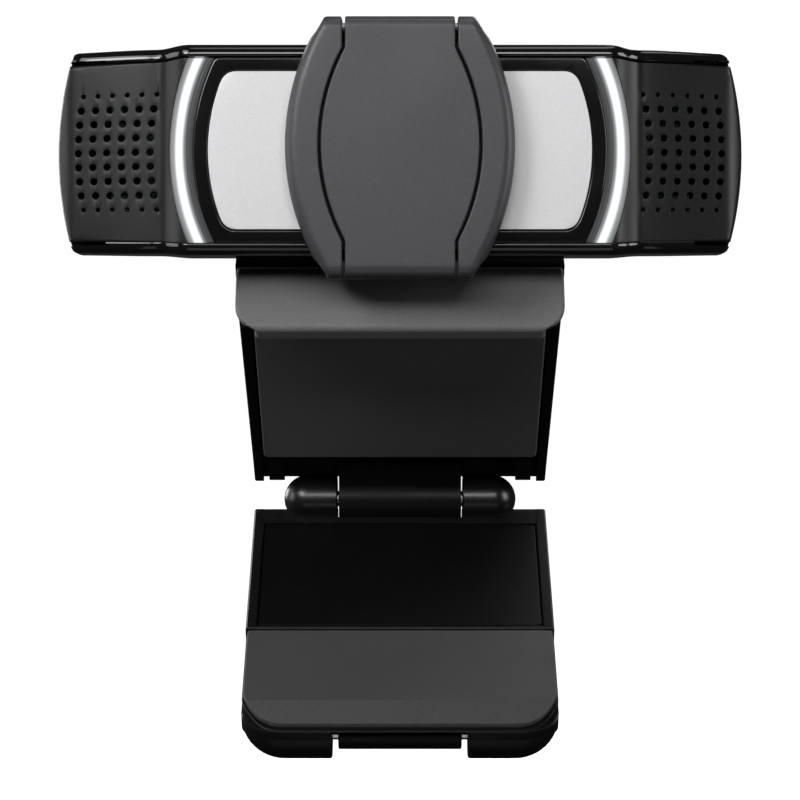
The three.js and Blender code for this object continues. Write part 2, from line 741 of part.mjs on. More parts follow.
function clipPlate() {
  const lipCore = 1.85; // radius of the core under the lip cover
  const coreBottom = 1 + GAP - LIP_DROP;
  const profile = lipProfile(lipCore, coreBottom, [
    [LIP_TOP + GAP, LIP_TOP + lipCore],
    [LIP_TOP + GAP, PLATE_FRONT_THICK],
    [PLATE_FLAT, PLATE_FRONT_THICK],
    [HINGE.y + ROOF_REACH, PLATE_BACK_THICK],
    [HINGE.y + ROOF_REACH, KNUCKLE_RADIUS],
    [HINGE.y - 4.2, 0],
    [0, 0],
  ]);
  const body = meet(
    alongX(profile, -CLIP_HALF_WIDTH, CLIP_HALF_WIDTH),
    join(
      box([-30, 30], [-0.05, 70], [-20, 20]),
      alongY(roundBottomed(CLIP_HALF_WIDTH - 1, coreBottom, LIP_CORNER - 1), -10, 0),
    ),
  );
  const clearance = BALL_RADIUS + GAP + 0.05;
  const barrelRoom = SIDES.map(([, side]) => {
    const near = KNUCKLE_HALF + 0.1;
    const far = BALL_CENTRE + BALL_RADIUS + 0.4;
    return rod("x", clearance, side > 0 ? [near, far] : [-far, -near], [HINGE.y, HINGE.z]);
  });
  const knuckle = join(
    rod("x", KNUCKLE_RADIUS, [-KNUCKLE_HALF, KNUCKLE_HALF], [HINGE.y, HINGE.z]),
    box([-KNUCKLE_HALF, KNUCKLE_HALF], [HINGE.y - 4.2, HINGE.y], [0, 4.5]),
  );
  const screwHoles = SIDES.map(([, side]) =>
    rod("z", PILOT_RADIUS, [1.6, 6], [side * NECK_SCREW.x, NECK_SCREW.u], 12),
  );
  const ridges = SIDES.map(([, side]) => {
    const { inner, outer } = RIDGE;
    return alongX(ridgeProfile(), ...(side > 0 ? [inner, outer] : [-outer, -inner]));
  });
  return cut(
    join(cut(body, ...barrelRoom), knuckle, ...ridges),
    box([-PAD_HALF - GAP, PAD_HALF + GAP], [GAP, PAD_END + GAP], [-1, 1.2]),
    box([-17.7, 17.7], [PAD_END + 0.7, HINGE.y - 4.4], [-1, 1.5]),
    box([-LIP_PAD.half - GAP, LIP_PAD.half + GAP], [-0.5, 1], [
      LIP_PAD.low - GAP,
      LIP_PAD.high + GAP,
    ]),
    rod("x", 2.7, [-KNUCKLE_HALF - 0.05, KNUCKLE_HALF + 0.05], [HINGE.y, HINGE.z]),
    ...screwHoles,
  );
}

function tiltNeck() {
  const { y, z } = TILT_ON_PLATE;
  const base = PLATE_FRONT_THICK + GAP;
  const half = NECK_HALF;
  const flange = [base, base + NECK_FLANGE];
  const holes = SIDES.map(([, side]) =>
    rod("z", PILOT_RADIUS, [3, 8], [side * NECK_SCREW.x, NECK_SCREW.u], 12),
  );
  return cut(
    join(
      rod("x", TILT_LUG.radius, [-half, half], [y, z]),
      box([-half, half], [y - TILT_LUG.radius, y + TILT_LUG.radius], [base, z]),
      box([-half, half], [y, NECK_SCREW.u], flange),
      box([-9, 9], [NECK_SCREW.u - 2.4, NECK_SCREW.u + 2.6], flange),
    ),
    rod("x", TILT_PIN.hole, [-10, 10], [y, z], SMALL_ROUND),
    ...holes,
  );
}

function tiltWasher(side) {
  const near = NECK_HALF + GAP;
  const far = TILT_LUG.inner - GAP;
  const span = side > 0 ? [near, far] : [-far, -near];
  const { y, z } = TILT_ON_PLATE;
  return cut(
    rod("x", 2.2, span, [y, z], 24),
    rod("x", TILT_PIN.hole, [span[0] - 1, span[1] + 1], [y, z], SMALL_ROUND),
  );
}

function buildPlate() {
  const plate = new THREE.Group();
  const put = (name, solid, material) => addPiece(plate, name, solid, material);
  const { y, z } = TILT_ON_PLATE;
  put("clip_plate", clipPlate(), satinBlack);
  put("front_lip", frontLip(), lipGrey);
  const { half, low, high } = LIP_PAD;
  put("lip_pad", box([-half, half], [-0.2, 0.4], [low, high]), rubber);
  put("plate_pad", box([-PAD_HALF, PAD_HALF], [2 * GAP, PAD_END], [-PAD_PROUD, 0.9]), rubber);
  put("tilt_neck", tiltNeck(), satinBlack);
  const tiltSpan = [-TILT_PIN.half, TILT_PIN.half];
  put("tilt_pin", rod("x", TILT_PIN.radius, tiltSpan, [y, z], SMALL_ROUND), steel);
  const pinPlace = [HINGE.y, HINGE.z];
  const pinSpan = [-LEG_PIN.half, LEG_PIN.half];
  put("leg_pin", rod("x", LEG_PIN.radius, pinSpan, pinPlace, SMALL_ROUND), steel);
  const clip = cut(
    rod("x", FRICTION_CLIP_RADIUS, [-8.8, 8.8], pinPlace, 24),
    rod("x", LEG_PIN.hole, [-9, 9], pinPlace, SMALL_ROUND),
  );
  put("hinge_friction_clip", clip, steel);
  for (const [word, side] of SIDES) {
    put(`${word}_tilt_washer`, tiltWasher(side), steel);
    const one = put(`${word}_neck_screw`, screw(1.7, 0.8, 0.8, 4.4), steel);
    one.rotation.x = -Math.PI / 2;
    one.position.set(side * NECK_SCREW.x, NECK_SCREW.u, 6.7);
  }
  plate.add(buildLeg());
  return plate;
}

// ---------------------------------------------------------------- leg
// Outlines on the leg are drawn in s and w.
const onLeg = (points) => outline(points.map(([s, w, radius]) => [-s, w, radius]));
const legBox = (half, [s0, s1], wSpan) => box([-half, half], [-s1, -s0], wSpan);

function legShell() {
  const stepBack = FOOT_START - 1;
  const sideProfile = onLeg([
    [LEG_START, LEG_TOP, 0.6],
    [stepBack, LEG_TOP],
    [stepBack, FOOT_FLOOR],
    [LEG_END, FOOT_FLOOR],
    [LEG_END, LEG_BOTTOM],
    [LEG_START, LEG_BOTTOM, 3],
  ]);
  const knuckles = SIDES.map(([, side]) => {
    const near = KNUCKLE_HALF + 0.5;
    const span = side > 0 ? [near, BALL_CENTRE] : [-BALL_CENTRE, -near];
    return join(rod("x", BALL_RADIUS, span, [0, 0], 24), halfBall(side));
  });
  const tabBox = legBox(TAB_HALF, [LEG_END - 0.2, FOOT_HINGE.s], [
    FOOT_HINGE.w - TAB_RADIUS,
    FOOT_HINGE.w + TAB_RADIUS,
  ]);
  const tabPlace = [-FOOT_HINGE.s, FOOT_HINGE.w];
  const solid = join(
    alongX(sideProfile, -CLIP_HALF_WIDTH, CLIP_HALF_WIDTH),
    ...knuckles,
    tabBox,
    rod("x", TAB_RADIUS, [-TAB_HALF, TAB_HALF], tabPlace, 24),
  );
  const ceiling = -4.2;
  const bossRadius = 6.4;
  const hollow = cut(
    legBox(13, [9, 33], [REBATE.w - 0.1, ceiling]),
    rod("z", bossRadius, [REBATE.w - 1, ceiling + 1], [0, -TRIPOD.s]),
  );
  return cut(
    solid,
    rod("x", KNUCKLE_RADIUS + 0.4, [-KNUCKLE_HALF - 0.5, KNUCKLE_HALF + 0.5], [0, 0]),
    legBox(KNUCKLE_HALF + 0.5, [-5, 2.5], [-4, 5]),
    legBox(PANEL_RECESS.half, [PANEL_RECESS.start, PANEL_RECESS.end], [PANEL_RECESS.w, 0]),
    legBox(REBATE.half, [REBATE.start, REBATE.end], [LEG_BOTTOM - 1, REBATE.w]),
    hollow,
    rod("z", TRIPOD.outer + GAP, [LEG_BOTTOM - 1, -3.1], [0, -TRIPOD.s]),
    rod("x", LEG_PIN.hole, [-LEG_PIN.half - 0.4, LEG_PIN.half + 0.4], [0, 0], SMALL_ROUND),
    rod("x", FOOT_PIN.hole, [-10, 10], tabPlace, SMALL_ROUND),
    ...coverScrewPlaces().map(([x, s]) => rod("z", 1, [REBATE.w - 1, -4.5], [x, -s], 12)),
  );
}

function halfBall(side) {
  const reach = BALL_CENTRE + BALL_RADIUS + 1;
  const span = side > 0 ? [BALL_CENTRE - 0.5, reach] : [-reach, 0.5 - BALL_CENTRE];
  return meet(ball(BALL_RADIUS, side * BALL_CENTRE), box(span, [-5, 5], [-5, 5]));
}

function coverScrewPlaces() {
  return COVER_SCREW.s.flatMap((s) => SIDES.map(([, side]) => [side * COVER_SCREW.x, s]));
}

function legCover() {
  const holes = coverScrewPlaces().flatMap(([x, s]) => [
    rod("z", 1.8, [LEG_BOTTOM - 1, -7], [x, -s], SMALL_ROUND),
    rod("z", 1, [LEG_BOTTOM - 1, -6], [x, -s], 12),
  ]);
  return cut(
    legBox(REBATE.half - GAP, [REBATE.start + GAP, REBATE.end - GAP], [LEG_BOTTOM, -6.5]),
    rod("z", TRIPOD.outer + GAP, [LEG_BOTTOM - 1, -6], [0, -TRIPOD.s]),
    ...holes,
  );
}

function buildLeg() {
  const leg = new THREE.Group();
  leg.position.set(0, HINGE.y, HINGE.z);
  leg.rotation.x = OPEN_ANGLE;
  const put = (name, solid, material) => addPiece(leg, name, solid, material);
  put("leg_shell", legShell(), satinBlack);
  const panelEdge = PANEL_RECESS.half - GAP;
  const panelRun = [PANEL_RECESS.start + GAP, PANEL_RECESS.end - GAP];
  put("leg_panel", legBox(panelEdge, panelRun, [PANEL_RECESS.w + GAP, -0.7]), glossBlack);
  put("leg_cover", legCover(), satinBlack);
  const insertSpan = [LEG_BOTTOM + 0.1, -3.4];
  put(
    "tripod_insert",
    cut(
      rod("z", TRIPOD.outer, insertSpan, [0, -TRIPOD.s]),
      rod("z", TRIPOD.bore, [LEG_BOTTOM - 1, 0], [0, -TRIPOD.s], 24),
    ),
    brass,
  );
  for (const [word, side] of SIDES) {
    for (const [row, s] of [
      ["rear", COVER_SCREW.s[0]],
      ["front", COVER_SCREW.s[1]],
    ]) {
      const one = put(`${row}_${word}_cover_screw`, screw(1.5, 0.6, 0.7, 3.2), steel);
      one.rotation.x = Math.PI / 2;
      one.position.set(side * COVER_SCREW.x, -s, LEG_BOTTOM + 0.1);
    }
  }
  leg.add(buildFoot());
  return leg;
}

// ---------------------------------------------------------------- foot
// Outlines on the foot are drawn in a and b, which are s and w measured from its hinge.
const FOOT_BACK = FOOT_START - FOOT_HINGE.s;
const SOLE = 1.5; // underside of the foot, over its hinge
const PAD_TOP = 5;

function footPlan(half, back, tip, corner) {
  return outline([
    [-half, -back],
    [half, -back],
    [half, -tip, corner],
    [-half, -tip, corner],
  ]);
}

function footShell() {
  const shape = new THREE.Shape();
  const lobeStart = Math.asin(SOLE / LOBE_RADIUS);
  shape.moveTo(-FOOT_BACK, SOLE);
  shape.lineTo(LOBE_RADIUS * Math.cos(lobeStart), SOLE);
  shape.absarc(0, 0, LOBE_RADIUS, lobeStart, Math.PI, true);
  shape.lineTo(-2.9, 2.6);
  shape.lineTo(-1.2, 2.6);
  shape.lineTo(1.6, 4);
  shape.lineTo(-FOOT_BACK, 4);
  const body = meet(
    alongX(shape, -CLIP_HALF_WIDTH, CLIP_HALF_WIDTH),
    alongZ(footPlan(CLIP_HALF_WIDTH, FOOT_BACK, LOBE_RADIUS, FOOT_CORNER), -5, 5),
  );
  return cut(
    body,
    box([-LOBE_INNER, LOBE_INNER], [-1.3, 4.4], [-4, 2.45]),
    box([-LOBE_INNER, LOBE_INNER], [-4, -1.25], [-4, 3]),
    rod("x", FOOT_PIN.hole, [-FOOT_PIN.half - GAP, FOOT_PIN.half + GAP], [0, 0], SMALL_ROUND),
  );
}

function footPad() {
  const section = outline([
    [-FOOT_BACK - GAP, PAD_TOP],
    [1.25, PAD_TOP],
    [-2, 3.5],
    [-2, 2.9],
    [-1.3, 2.9],
    [1.5, 4.3],
    [-FOOT_BACK - GAP, 4.3],
  ]);
  const half = CLIP_HALF_WIDTH - 0.3;
  return meet(
    alongX(section, -half, half),
    alongZ(footPlan(half, FOOT_BACK + GAP, 2, FOOT_CORNER - 0.8), 0, 6),
  );
}

function buildFoot() {
  const foot = new THREE.Group();
  foot.position.set(0, -FOOT_HINGE.s, FOOT_HINGE.w);
  addPiece(foot, "foot_shell", footShell(), satinBlack);
  addPiece(foot, "foot_pad", footPad(), rubber);
  const { half, radius } = FOOT_PIN;
  addPiece(foot, "foot_pin", rod("x", radius, [-half, half], [0, 0], SMALL_ROUND), steel);
  return foot;
}

// ---------------------------------------------------------------- assembly
const webcam = new THREE.Group();
const body = new THREE.Group(); // carries the head frame
const plateGroup = buildPlate();
plateGroup.position.set(0, CLIP_CORNER.y, CLIP_CORNER.z);
plateGroup.rotation.x = -CLIP_TILT;
body.add(buildHead());
body.add(plateGroup);
// the middle of the grip pad's lower face becomes the origin
const padMiddle = new THREE.Vector3(0, (2 * GAP + PAD_END) / 2, -PAD_PROUD);
padMiddle.applyAxisAngle(X, -CLIP_TILT).add(plateGroup.position);
body.position.copy(padMiddle).negate();
webcam.add(body);

export default webcam;
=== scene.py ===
"""Looks of a wide-angle webcam with a flip privacy shutter on a fold-out monitor clip.

Shapes are drawn in millimetres in one of four local frames and carried into the row frame:
  HEAD   y = 0 on the front glass, z = 0 at the middle of the camera body
  PLATE  y along the clip plate from the lip's inner face, z = 0 on the plate's underside
  LEG    origin on the leg's hinge axis, the leg runs along -y, z out of its inner face
  FOOT   origin on the foot's hinge axis, parallel to LEG
"""

import json
import math

import bmesh
import bpy
from mathutils import Matrix, Vector


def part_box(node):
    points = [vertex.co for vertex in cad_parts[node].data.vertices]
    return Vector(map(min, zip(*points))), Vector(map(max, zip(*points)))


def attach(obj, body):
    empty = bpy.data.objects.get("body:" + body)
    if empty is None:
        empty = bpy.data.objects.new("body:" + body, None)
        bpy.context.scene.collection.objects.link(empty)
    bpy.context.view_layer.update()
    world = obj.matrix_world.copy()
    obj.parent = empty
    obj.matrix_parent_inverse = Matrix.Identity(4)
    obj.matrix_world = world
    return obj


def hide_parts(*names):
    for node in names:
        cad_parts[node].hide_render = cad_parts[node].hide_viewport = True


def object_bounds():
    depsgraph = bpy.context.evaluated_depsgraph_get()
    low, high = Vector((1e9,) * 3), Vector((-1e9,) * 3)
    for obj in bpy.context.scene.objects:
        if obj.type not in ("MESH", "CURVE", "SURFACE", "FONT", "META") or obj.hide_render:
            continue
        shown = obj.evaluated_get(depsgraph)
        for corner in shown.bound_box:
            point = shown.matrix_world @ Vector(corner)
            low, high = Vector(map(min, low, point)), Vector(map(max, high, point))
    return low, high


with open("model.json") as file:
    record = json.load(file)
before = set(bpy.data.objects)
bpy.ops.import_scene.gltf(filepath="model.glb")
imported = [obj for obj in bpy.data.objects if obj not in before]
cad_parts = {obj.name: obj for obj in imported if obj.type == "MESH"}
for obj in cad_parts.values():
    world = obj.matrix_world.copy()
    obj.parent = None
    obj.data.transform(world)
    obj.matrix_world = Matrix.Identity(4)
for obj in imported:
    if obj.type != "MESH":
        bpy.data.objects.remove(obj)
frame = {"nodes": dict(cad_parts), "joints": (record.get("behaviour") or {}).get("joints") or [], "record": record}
cad_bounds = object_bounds()
RECORD = frame["record"]
MM = 0.001
SIDES = (("left", -1), ("right", 1))

# ---- frames
HINGE_U = 57.5  # distance of the leg's hinge from the lip's inner face
UNDER = 0.6  # the plate's underside lies this far above the hinge axis
MOUNTS = {m["name"]: m for m in RECORD["mounts"]}
JOINTS = {j["name"]: j for j in frame["joints"]}


def local_frame(origin, up):
    """Millimetre frame at origin whose z is up and whose x is the row's x."""
    z = Vector(up).normalized()
    x = Vector((1, 0, 0))
    turn = Matrix((x, z.cross(x), z)).transposed().to_4x4()
    return Matrix.Translation(Vector(origin)) @ turn @ Matrix.Scale(MM, 4)


def box_mm(node, place):
    """Corners of a CAD node's box in a local frame that is parallel to the row's."""
    low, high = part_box(node)
    back = place.inverted()
    return back @ low, back @ high


bezel_low, bezel_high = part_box("front_bezel")
HEAD = local_frame((0, bezel_low.y, (bezel_low.z + bezel_high.z) / 2), (0, 0, 1))
PLATE_UP = -Vector(MOUNTS["monitor_rest"]["axis"])
LEG_UP = -Vector(MOUNTS["tripod_face"]["axis"])
LEG_HINGE = JOINTS["leg_fold"]["pos_m"]
PLATE = local_frame(LEG_HINGE, PLATE_UP) @ Matrix.Translation((0, -HINGE_U, UNDER))
LEG = local_frame(LEG_HINGE, LEG_UP)
FOOT = local_frame(JOINTS["foot_fold"]["pos_m"], LEG_UP)
TILT = HEAD.inverted() @ Vector(JOINTS["head_tilt"]["pos_m"])
FLAP_HINGE = HEAD.inverted() @ Vector(JOINTS["shutter_flip"]["pos_m"])
TILT_ON_PLATE = PLATE.inverted() @ Vector(JOINTS["head_tilt"]["pos_m"])
FOOT_HINGE = LEG.inverted() @ Vector(JOINTS["foot_fold"]["pos_m"])

# a local frame and the body that the piece rides on
ON_HEAD = (HEAD, "camera_head")
ON_CARRIER = (HEAD, "lens_carrier")
ON_FLAP = (HEAD, "shutter_flap")
ON_CLIP = (PLATE, "clip_base")
ON_LEG = (LEG, "clip_leg")
ON_FOOT = (FOOT, "clip_foot")

# ---- sizes, millimetres
END_R, DEPTH, HALF_H = box_mm("rear_housing", HEAD)[1]  # END_R: the ends are arcs about the lens
BACK_C = DEPTH - HALF_H  # the back is half a cylinder about this line
CORNER_START, BACK_HALF = 12.5, 30  # depth where the ends round in, and half width they reach
gland_low, gland_high = box_mm("cable_gland", HEAD)
GLAND_X = (gland_low.x + gland_high.x) / 2
WALL = 1.75
FACE_HALF = HALF_H - WALL - 0.12  # half height of the pieces inside the rim
STEP_START, STEP_END, STEP_DEPTH = 28.5, 33.0, 2.8
WING_SWEEP, SWEEP_END = 2.9, 44.5
WING_DROP, TIP_DROP = 0.35, 0.55  # how much lower the wings' top is than the middle
BELLY_RISE = 0.25  # the underside is this much flatter than the top
BEZEL_R = 28.6
PLATE_R, PLATE_HALF = 25.85, 10.65
LENS_HOLE = 9.0
BEND_FIRST, BEND_PITCH, BEND_CUTS = 26, 0.5, 44  # cuts that let a flat front piece bend
BAR_INNER, BAR_OUTER = 28.7, 30.45
GRILLE_INNER, GRILLE_OUTER = 31.2, 46.9
GRILLE_SEAT = 9.0  # the end walls start this far back, behind the grilles
HOLE_FIRST, HOLE_PITCH, HOLE_COLUMNS, HOLE_ROWS = 33.9, 2.0, 6, 4

SHUTTER_FRONT, SHUTTER_TOP, SHUTTER_BOTTOM = -4.0, 17.7, -17.4
SHUTTER_CENTRE = 0.5  # height of the widest place of the flap and its frame
SHUTTER_EDGE = 1.7  # radius of the outer edges
SHUTTER_HOOK = 9.5
SIDE_REACH, SIDE_R = 15.4, 31.8  # outer arcs of the frame
SEAM_STRAIGHT, SEAM_REACH, SEAM_HALF = 7.35, 10.58, 12.85  # edges of the flap
SEAM_GAP = 0.4

LUG_R, TILT_HOLE = 2.3, 1.15  # lugs of the tilt hinge
CLIP_HALF = 22.3
PLATE_FLARE = 0.35  # how much wider the plate is at the lip
LIP_DROP, LIP_THICK, LIP_CORNER, LIP_TOP = 7.5, 2.5, 4.2, 0.75
LIP_HALF = 22.6
RIDGE_INNER, RIDGE_OUTER = 10.0, 22.9
PAD_HALF, PAD_END = 20.6, 45.3
KNUCKLE_R, KNUCKLE_HALF = 3.9, 9.2
BALL_R, BALL_X = 3.7, 14.2
LEG_TOP, LEG_BOTTOM, LEG_START, LEG_END = -0.6, -8.0, 1.5, 49.2
LEG_HALF = 22.45
FOOT_START, FOOT_FLOOR = 34.6, -3.8
TRIPOD_S = 22.0
LOBE_R, LOBE_INNER, TAB_R, TAB_HALF = 3.4, 9.45, 2.1, 8.65
FOOT_CORNER = 6.2
NECK_SCREW_X, NECK_SCREW_U = 6.8, 10.8
COVER_SCREW_X, COVER_SCREWS = 16.5, (("rear", 11), ("front", 45))  # row and its place on the leg

# ---- outlines
def arc(centre, radius, start, end, steps):
    """Points from start to end, in degrees, about centre."""
    turns = [math.radians(start + (end - start) * i / steps) for i in range(steps + 1)]
    return [(centre[0] + radius * math.cos(t), centre[1] + radius * math.sin(t)) for t in turns]


def circle(centre, radius, count):
    """Points of a full turn."""
    return arc(centre, radius, 0, 360 * (1 - 1 / count), count - 1)


def line(start, end, steps):
    a, b = Vector(start), Vector(end)
    return [tuple(a + (b - a) * i / steps) for i in range(steps + 1)]


def quarter_turns(steps):
    """Angles from 0 to a quarter turn, in radians."""
    return [math.pi / 2 * k / steps for k in range(steps + 1)]


def curve(start, corner, end, steps):
    """Points of a smooth curve from start to end that leans towards corner."""
    shares = [i / steps for i in range(steps + 1)]
    return [tuple(start * (1 - t) ** 2 + corner * 2 * t * (1 - t) + end * t * t) for t in shares]


def rounded(corners, steps=8):
    """Closed outline from corners (a, b) or (a, b, radius)."""
    points = []
    count = len(corners)
    for i, corner in enumerate(corners):
        here = Vector(corner[:2])
        radius = corner[2] if len(corner) > 2 else 0
        if not radius:
            points.append(here)
            continue
        back = (Vector(corners[i - 1][:2]) - here).normalized()
        ahead = (Vector(corners[(i + 1) % count][:2]) - here).normalized()
        half = back.angle(ahead) / 2
        centre = here + (back + ahead).normalized() * (radius / math.sin(half))
        start = here + back * (radius / math.tan(half)) - centre
        end = here + ahead * (radius / math.tan(half)) - centre
        turn = start.angle_signed(end)
        for k in range(steps + 1):
            points.append(centre + Matrix.Rotation(-turn * k / steps, 2) @ start)
    return [tuple(p) for p in points]


def rectangle(low, high, radius=0, far_radius=None, steps=8):
    """Outline between two corners; the corners on high's side may have their own radius."""
    far = radius if far_radius is None else far_radius
    (x0, y0), (x1, y1) = low, high
    return rounded([(x0, y0, radius), (x1, y0, radius), (x1, y1, far), (x0, y1, far)], steps)


def anticlockwise(points):
    area = sum(a[0] * b[1] - b[0] * a[1] for a, b in zip([points[-1], *points], points))
    return list(points) if area > 0 else list(points)[::-1]


def inset(points, distances):
    """Outline moved to its left, each point by its own distance."""
    count = len(points)
    moved = []
    for i, point in enumerate(points):
        here = Vector(point)
        before = (here - Vector(points[i - 1])).normalized()
        after = (Vector(points[(i + 1) % count]) - here).normalized()
        left = Vector((-before.y, before.x)) + Vector((-after.y, after.x))
        bend = max(0.3, 1 + before.dot(after))
        moved.append(tuple(here + left * (distances[i] / bend)))
    return moved


def arc_ended(radius, half, corner=0.0, steps=24):
    """Outline with flat top and bottom and ends that are arcs about the lens axis."""
    edge = math.degrees(math.asin(half / radius))
    right = arc((0, 0), radius, -edge, edge, steps)
    left = arc((0, 0), radius, 180 - edge, 180 + edge, steps)
    if not corner:
        return right + left
    sharp = [right[0], right[-1], left[0], left[-1]]
    return soften(right + left, sharp, corner)


def soften(points, sharp, radius, steps=6):
    """Cuts the named sharp corners of a dense outline with a smooth curve."""
    result = []
    count = len(points)
    for i, point in enumerate(points):
        if point not in sharp:
            if all((Vector(point) - Vector(s)).length > radius for s in sharp):
                result.append(point)
            continue
        back = walk(points, i, -1, radius)
        ahead = walk(points, i, 1, radius)
        result += curve(back, Vector(point), ahead, steps)
    return result


def walk(points, index, way, distance):
    """Point at distance from points[index] along the outline."""
    here = Vector(points[index])
    left = distance
    while True:
        index = (index + way) % len(points)
        there = Vector(points[index])
        span = (there - here).length
        if span >= left:
            return here + (there - here) * (left / span)
        left -= span
        here = there


def arc_band(inner, outer, half, side, steps=40):
    """Outline between two arcs about the lens axis, on one side of it."""
    def column(radius):
        return [
            (side * math.sqrt(radius * radius - z * z), z)
            for z in (half * (2 * i / steps - 1) for i in range(steps + 1))
        ]
    return anticlockwise(column(outer) + column(inner)[::-1])


def smooth(low, high, value):
    t = min(1.0, max(0.0, (value - low) / (high - low)))
    return t * t * (3 - 2 * t)


def sweep(x):
    """How far back the front surface lies at x."""
    wing = max(0.0, abs(x) - STEP_END) / (SWEEP_END - STEP_END)
    return STEP_DEPTH * smooth(STEP_START, STEP_END, abs(x)) + WING_SWEEP * wing ** 1.3


def drop(x):
    """How much lower the top of the body is at x."""
    reach = abs(x)
    near = WING_DROP * smooth(STEP_START, STEP_END, reach)
    return near + (TIP_DROP - WING_DROP) * smooth(STEP_END, END_R, reach)


# ---- meshes
PLANES = {
    "front": lambda p, q, h: Vector((p, h, q)),  # outline in x and z, depth along y
    "top": lambda p, q, h: Vector((p, q, h)),  # outline in x and y, depth along z
    "side": lambda p, q, h: Vector((h, p, q)),  # outline in y and z, depth along x
}
SHARP = math.radians(32)


MERGE = 1e-5  # points closer than this, in mm, become one


def add_object(name, data):
    made = bpy.data.objects.new(name, data)
    bpy.context.scene.collection.objects.link(made)
    return made


def mesh_object(name, bm, place):
    """Object from a mesh that is drawn in a local frame."""
    mesh = bpy.data.meshes.new(name)
    bm.to_mesh(mesh)
    bm.free()
    mesh.transform(place)
    return add_object(name, mesh)


def shade(piece, angle=SHARP):
    piece.data.shade_smooth()
    piece.data.set_sharp_from_angle(angle=angle)


def make(name, bm, where, slot, replaces=(), material=None, angle=SHARP):
    """Finished piece; where is a local frame and the body that the piece rides on."""
    place, body = where
    bmesh.ops.remove_doubles(bm, verts=bm.verts, dist=MERGE)
    bmesh.ops.recalc_face_normals(bm, faces=bm.faces)
    piece = mesh_object(name, bm, place)
    shade(piece, angle)
    weighted = piece.modifiers.new("weighted_normals", "WEIGHTED_NORMAL")
    weighted.keep_sharp = True
    weighted.weight = 80
    piece.data.materials.append(material or SLOT_MATERIAL[slot])
    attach(piece, body)
    if replaces:
        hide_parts(*replaces)
    return piece


def edge_levels(low, high, steps):
    """(height, way up or down, inset share, height share) of a rounded edge, low to high."""
    turns = quarter_turns(steps)
    below = [(low, 1, 1 - math.sin(t), 1 - math.cos(t)) for t in turns]
    above = [(high, -1, 1 - math.sin(t), 1 - math.cos(t)) for t in turns[::-1]]
    return below + above


def bridge(bm, rings):
    """Faces between each ring and the next."""
    for lower, upper in zip(rings, rings[1:]):
        count = len(lower)
        for i in range(count):
            j = (i + 1) % count
            quad = [lower[i], lower[j], upper[j], upper[i]]
            if len(set(quad)) > 2:
                bm.faces.new(list(dict.fromkeys(quad)))


def prism_mesh(loops, low, high, edge, plane, edge_of=None, steps=4):
    """Flat solid with rounded edges: loops[0] is the outline, the others are holes."""
    bm = bmesh.new()
    place = PLANES[plane]
    caps = [[], []]
    for number, loop in enumerate(loops):
        points = anticlockwise(loop)
        sign = 1 if number == 0 else -1
        radii = [edge_of(p) if edge_of and number == 0 else edge for p in points]
        rings = []
        for base, way, share, rise in edge_levels(low, high, steps):
            moved = inset(points, [sign * r * share for r in radii])
            rings.append(
                [bm.verts.new(place(*p, base + way * r * rise)) for p, r in zip(moved, radii)]
            )
        bridge(bm, rings)
        for cap, ring in zip(caps, (rings[0], rings[-1])):
            cap.extend(
                bm.edges.get((ring[i], ring[(i + 1) % len(ring)])) for i in range(len(ring))
            )
            if len(loops) == 1:
                bm.faces.new(ring)
    if len(loops) > 1:
        for cap in caps:
            bmesh.ops.triangle_fill(bm, use_beauty=True, edges=cap)
    return bm


def loft_mesh(rings):
    """Closed solid through rings of 3-D points, with flat ends."""
    bm = bmesh.new()
    made = [[bm.verts.new(p) for p in ring] for ring in rings]
    bridge(bm, made)
    bm.faces.new(made[0])
    bm.faces.new(made[-1][::-1])
    return bm


def turned_mesh(profile, centre, axis, steps=72):
    """Solid turned about a line along axis; profile points are (distance along, radius)."""
    bm = bmesh.new()
    place = PLANES[{"x": "side", "y": "front", "z": "top"}[axis]]
    centre = Vector(centre)
    rings = [
        [bm.verts.new(centre + place(a, b, along)) for a, b in circle((0, 0), radius, steps)]
        for along, radius in profile
    ]
    if profile[0][1] > MERGE and profile[0] == profile[-1]:
        for v in rings.pop():
            bm.verts.remove(v)
        rings.append(rings[0])
    bridge(bm, rings)
    return bm


def rod(start, end, radius, centre, axis, steps):
    """Plain cylinder that cuts a hole."""
    return turned_mesh([(start, 0), (start, radius), (end, radius), (end, 0)], centre, axis, steps)


def round_profile(points, steps=5):
    """Profile corners (along, radius, fillet) as a dense line."""
    dense = []
    for i, corner in enumerate(points):
        fillet = corner[2] if len(corner) > 2 else 0
        if not fillet or i in (0, len(points) - 1):
            dense.append(tuple(corner[:2]))
            continue
        here = Vector(corner[:2])
        back = (Vector(points[i - 1][:2]) - here).normalized()
        ahead = (Vector(points[i + 1][:2]) - here).normalized()
        dense += curve(here + back * fillet, here, here + ahead * fillet, steps)
    return dense


def cut_across(bm, spot, normal):
    """Adds the edges where a plane crosses the mesh."""
    every = bm.verts[:] + bm.edges[:] + bm.faces[:]
    bmesh.ops.bisect_plane(bm, geom=every, plane_co=spot, plane_no=normal, dist=1e-4)


def boolean(piece, cutter_bm, place):
    """Takes a mesh that is drawn in a local frame out of a piece."""
    bmesh.ops.recalc_face_normals(cutter_bm, faces=cutter_bm.faces)
    cutter = mesh_object("cutter", cutter_bm, place)
    modifier = piece.modifiers.new("cut", "BOOLEAN")
    modifier.operation = "DIFFERENCE"
    modifier.object = cutter
    modifier.solver = "EXACT"
    bpy.context.view_layer.objects.active = piece
    with bpy.context.temp_override(object=piece, active_object=piece):
        bpy.ops.object.modifier_move_to_index(modifier="cut", index=0)
        bpy.ops.object.modifier_apply(modifier="cut")
    bpy.data.objects.remove(cutter)
    shade(piece)


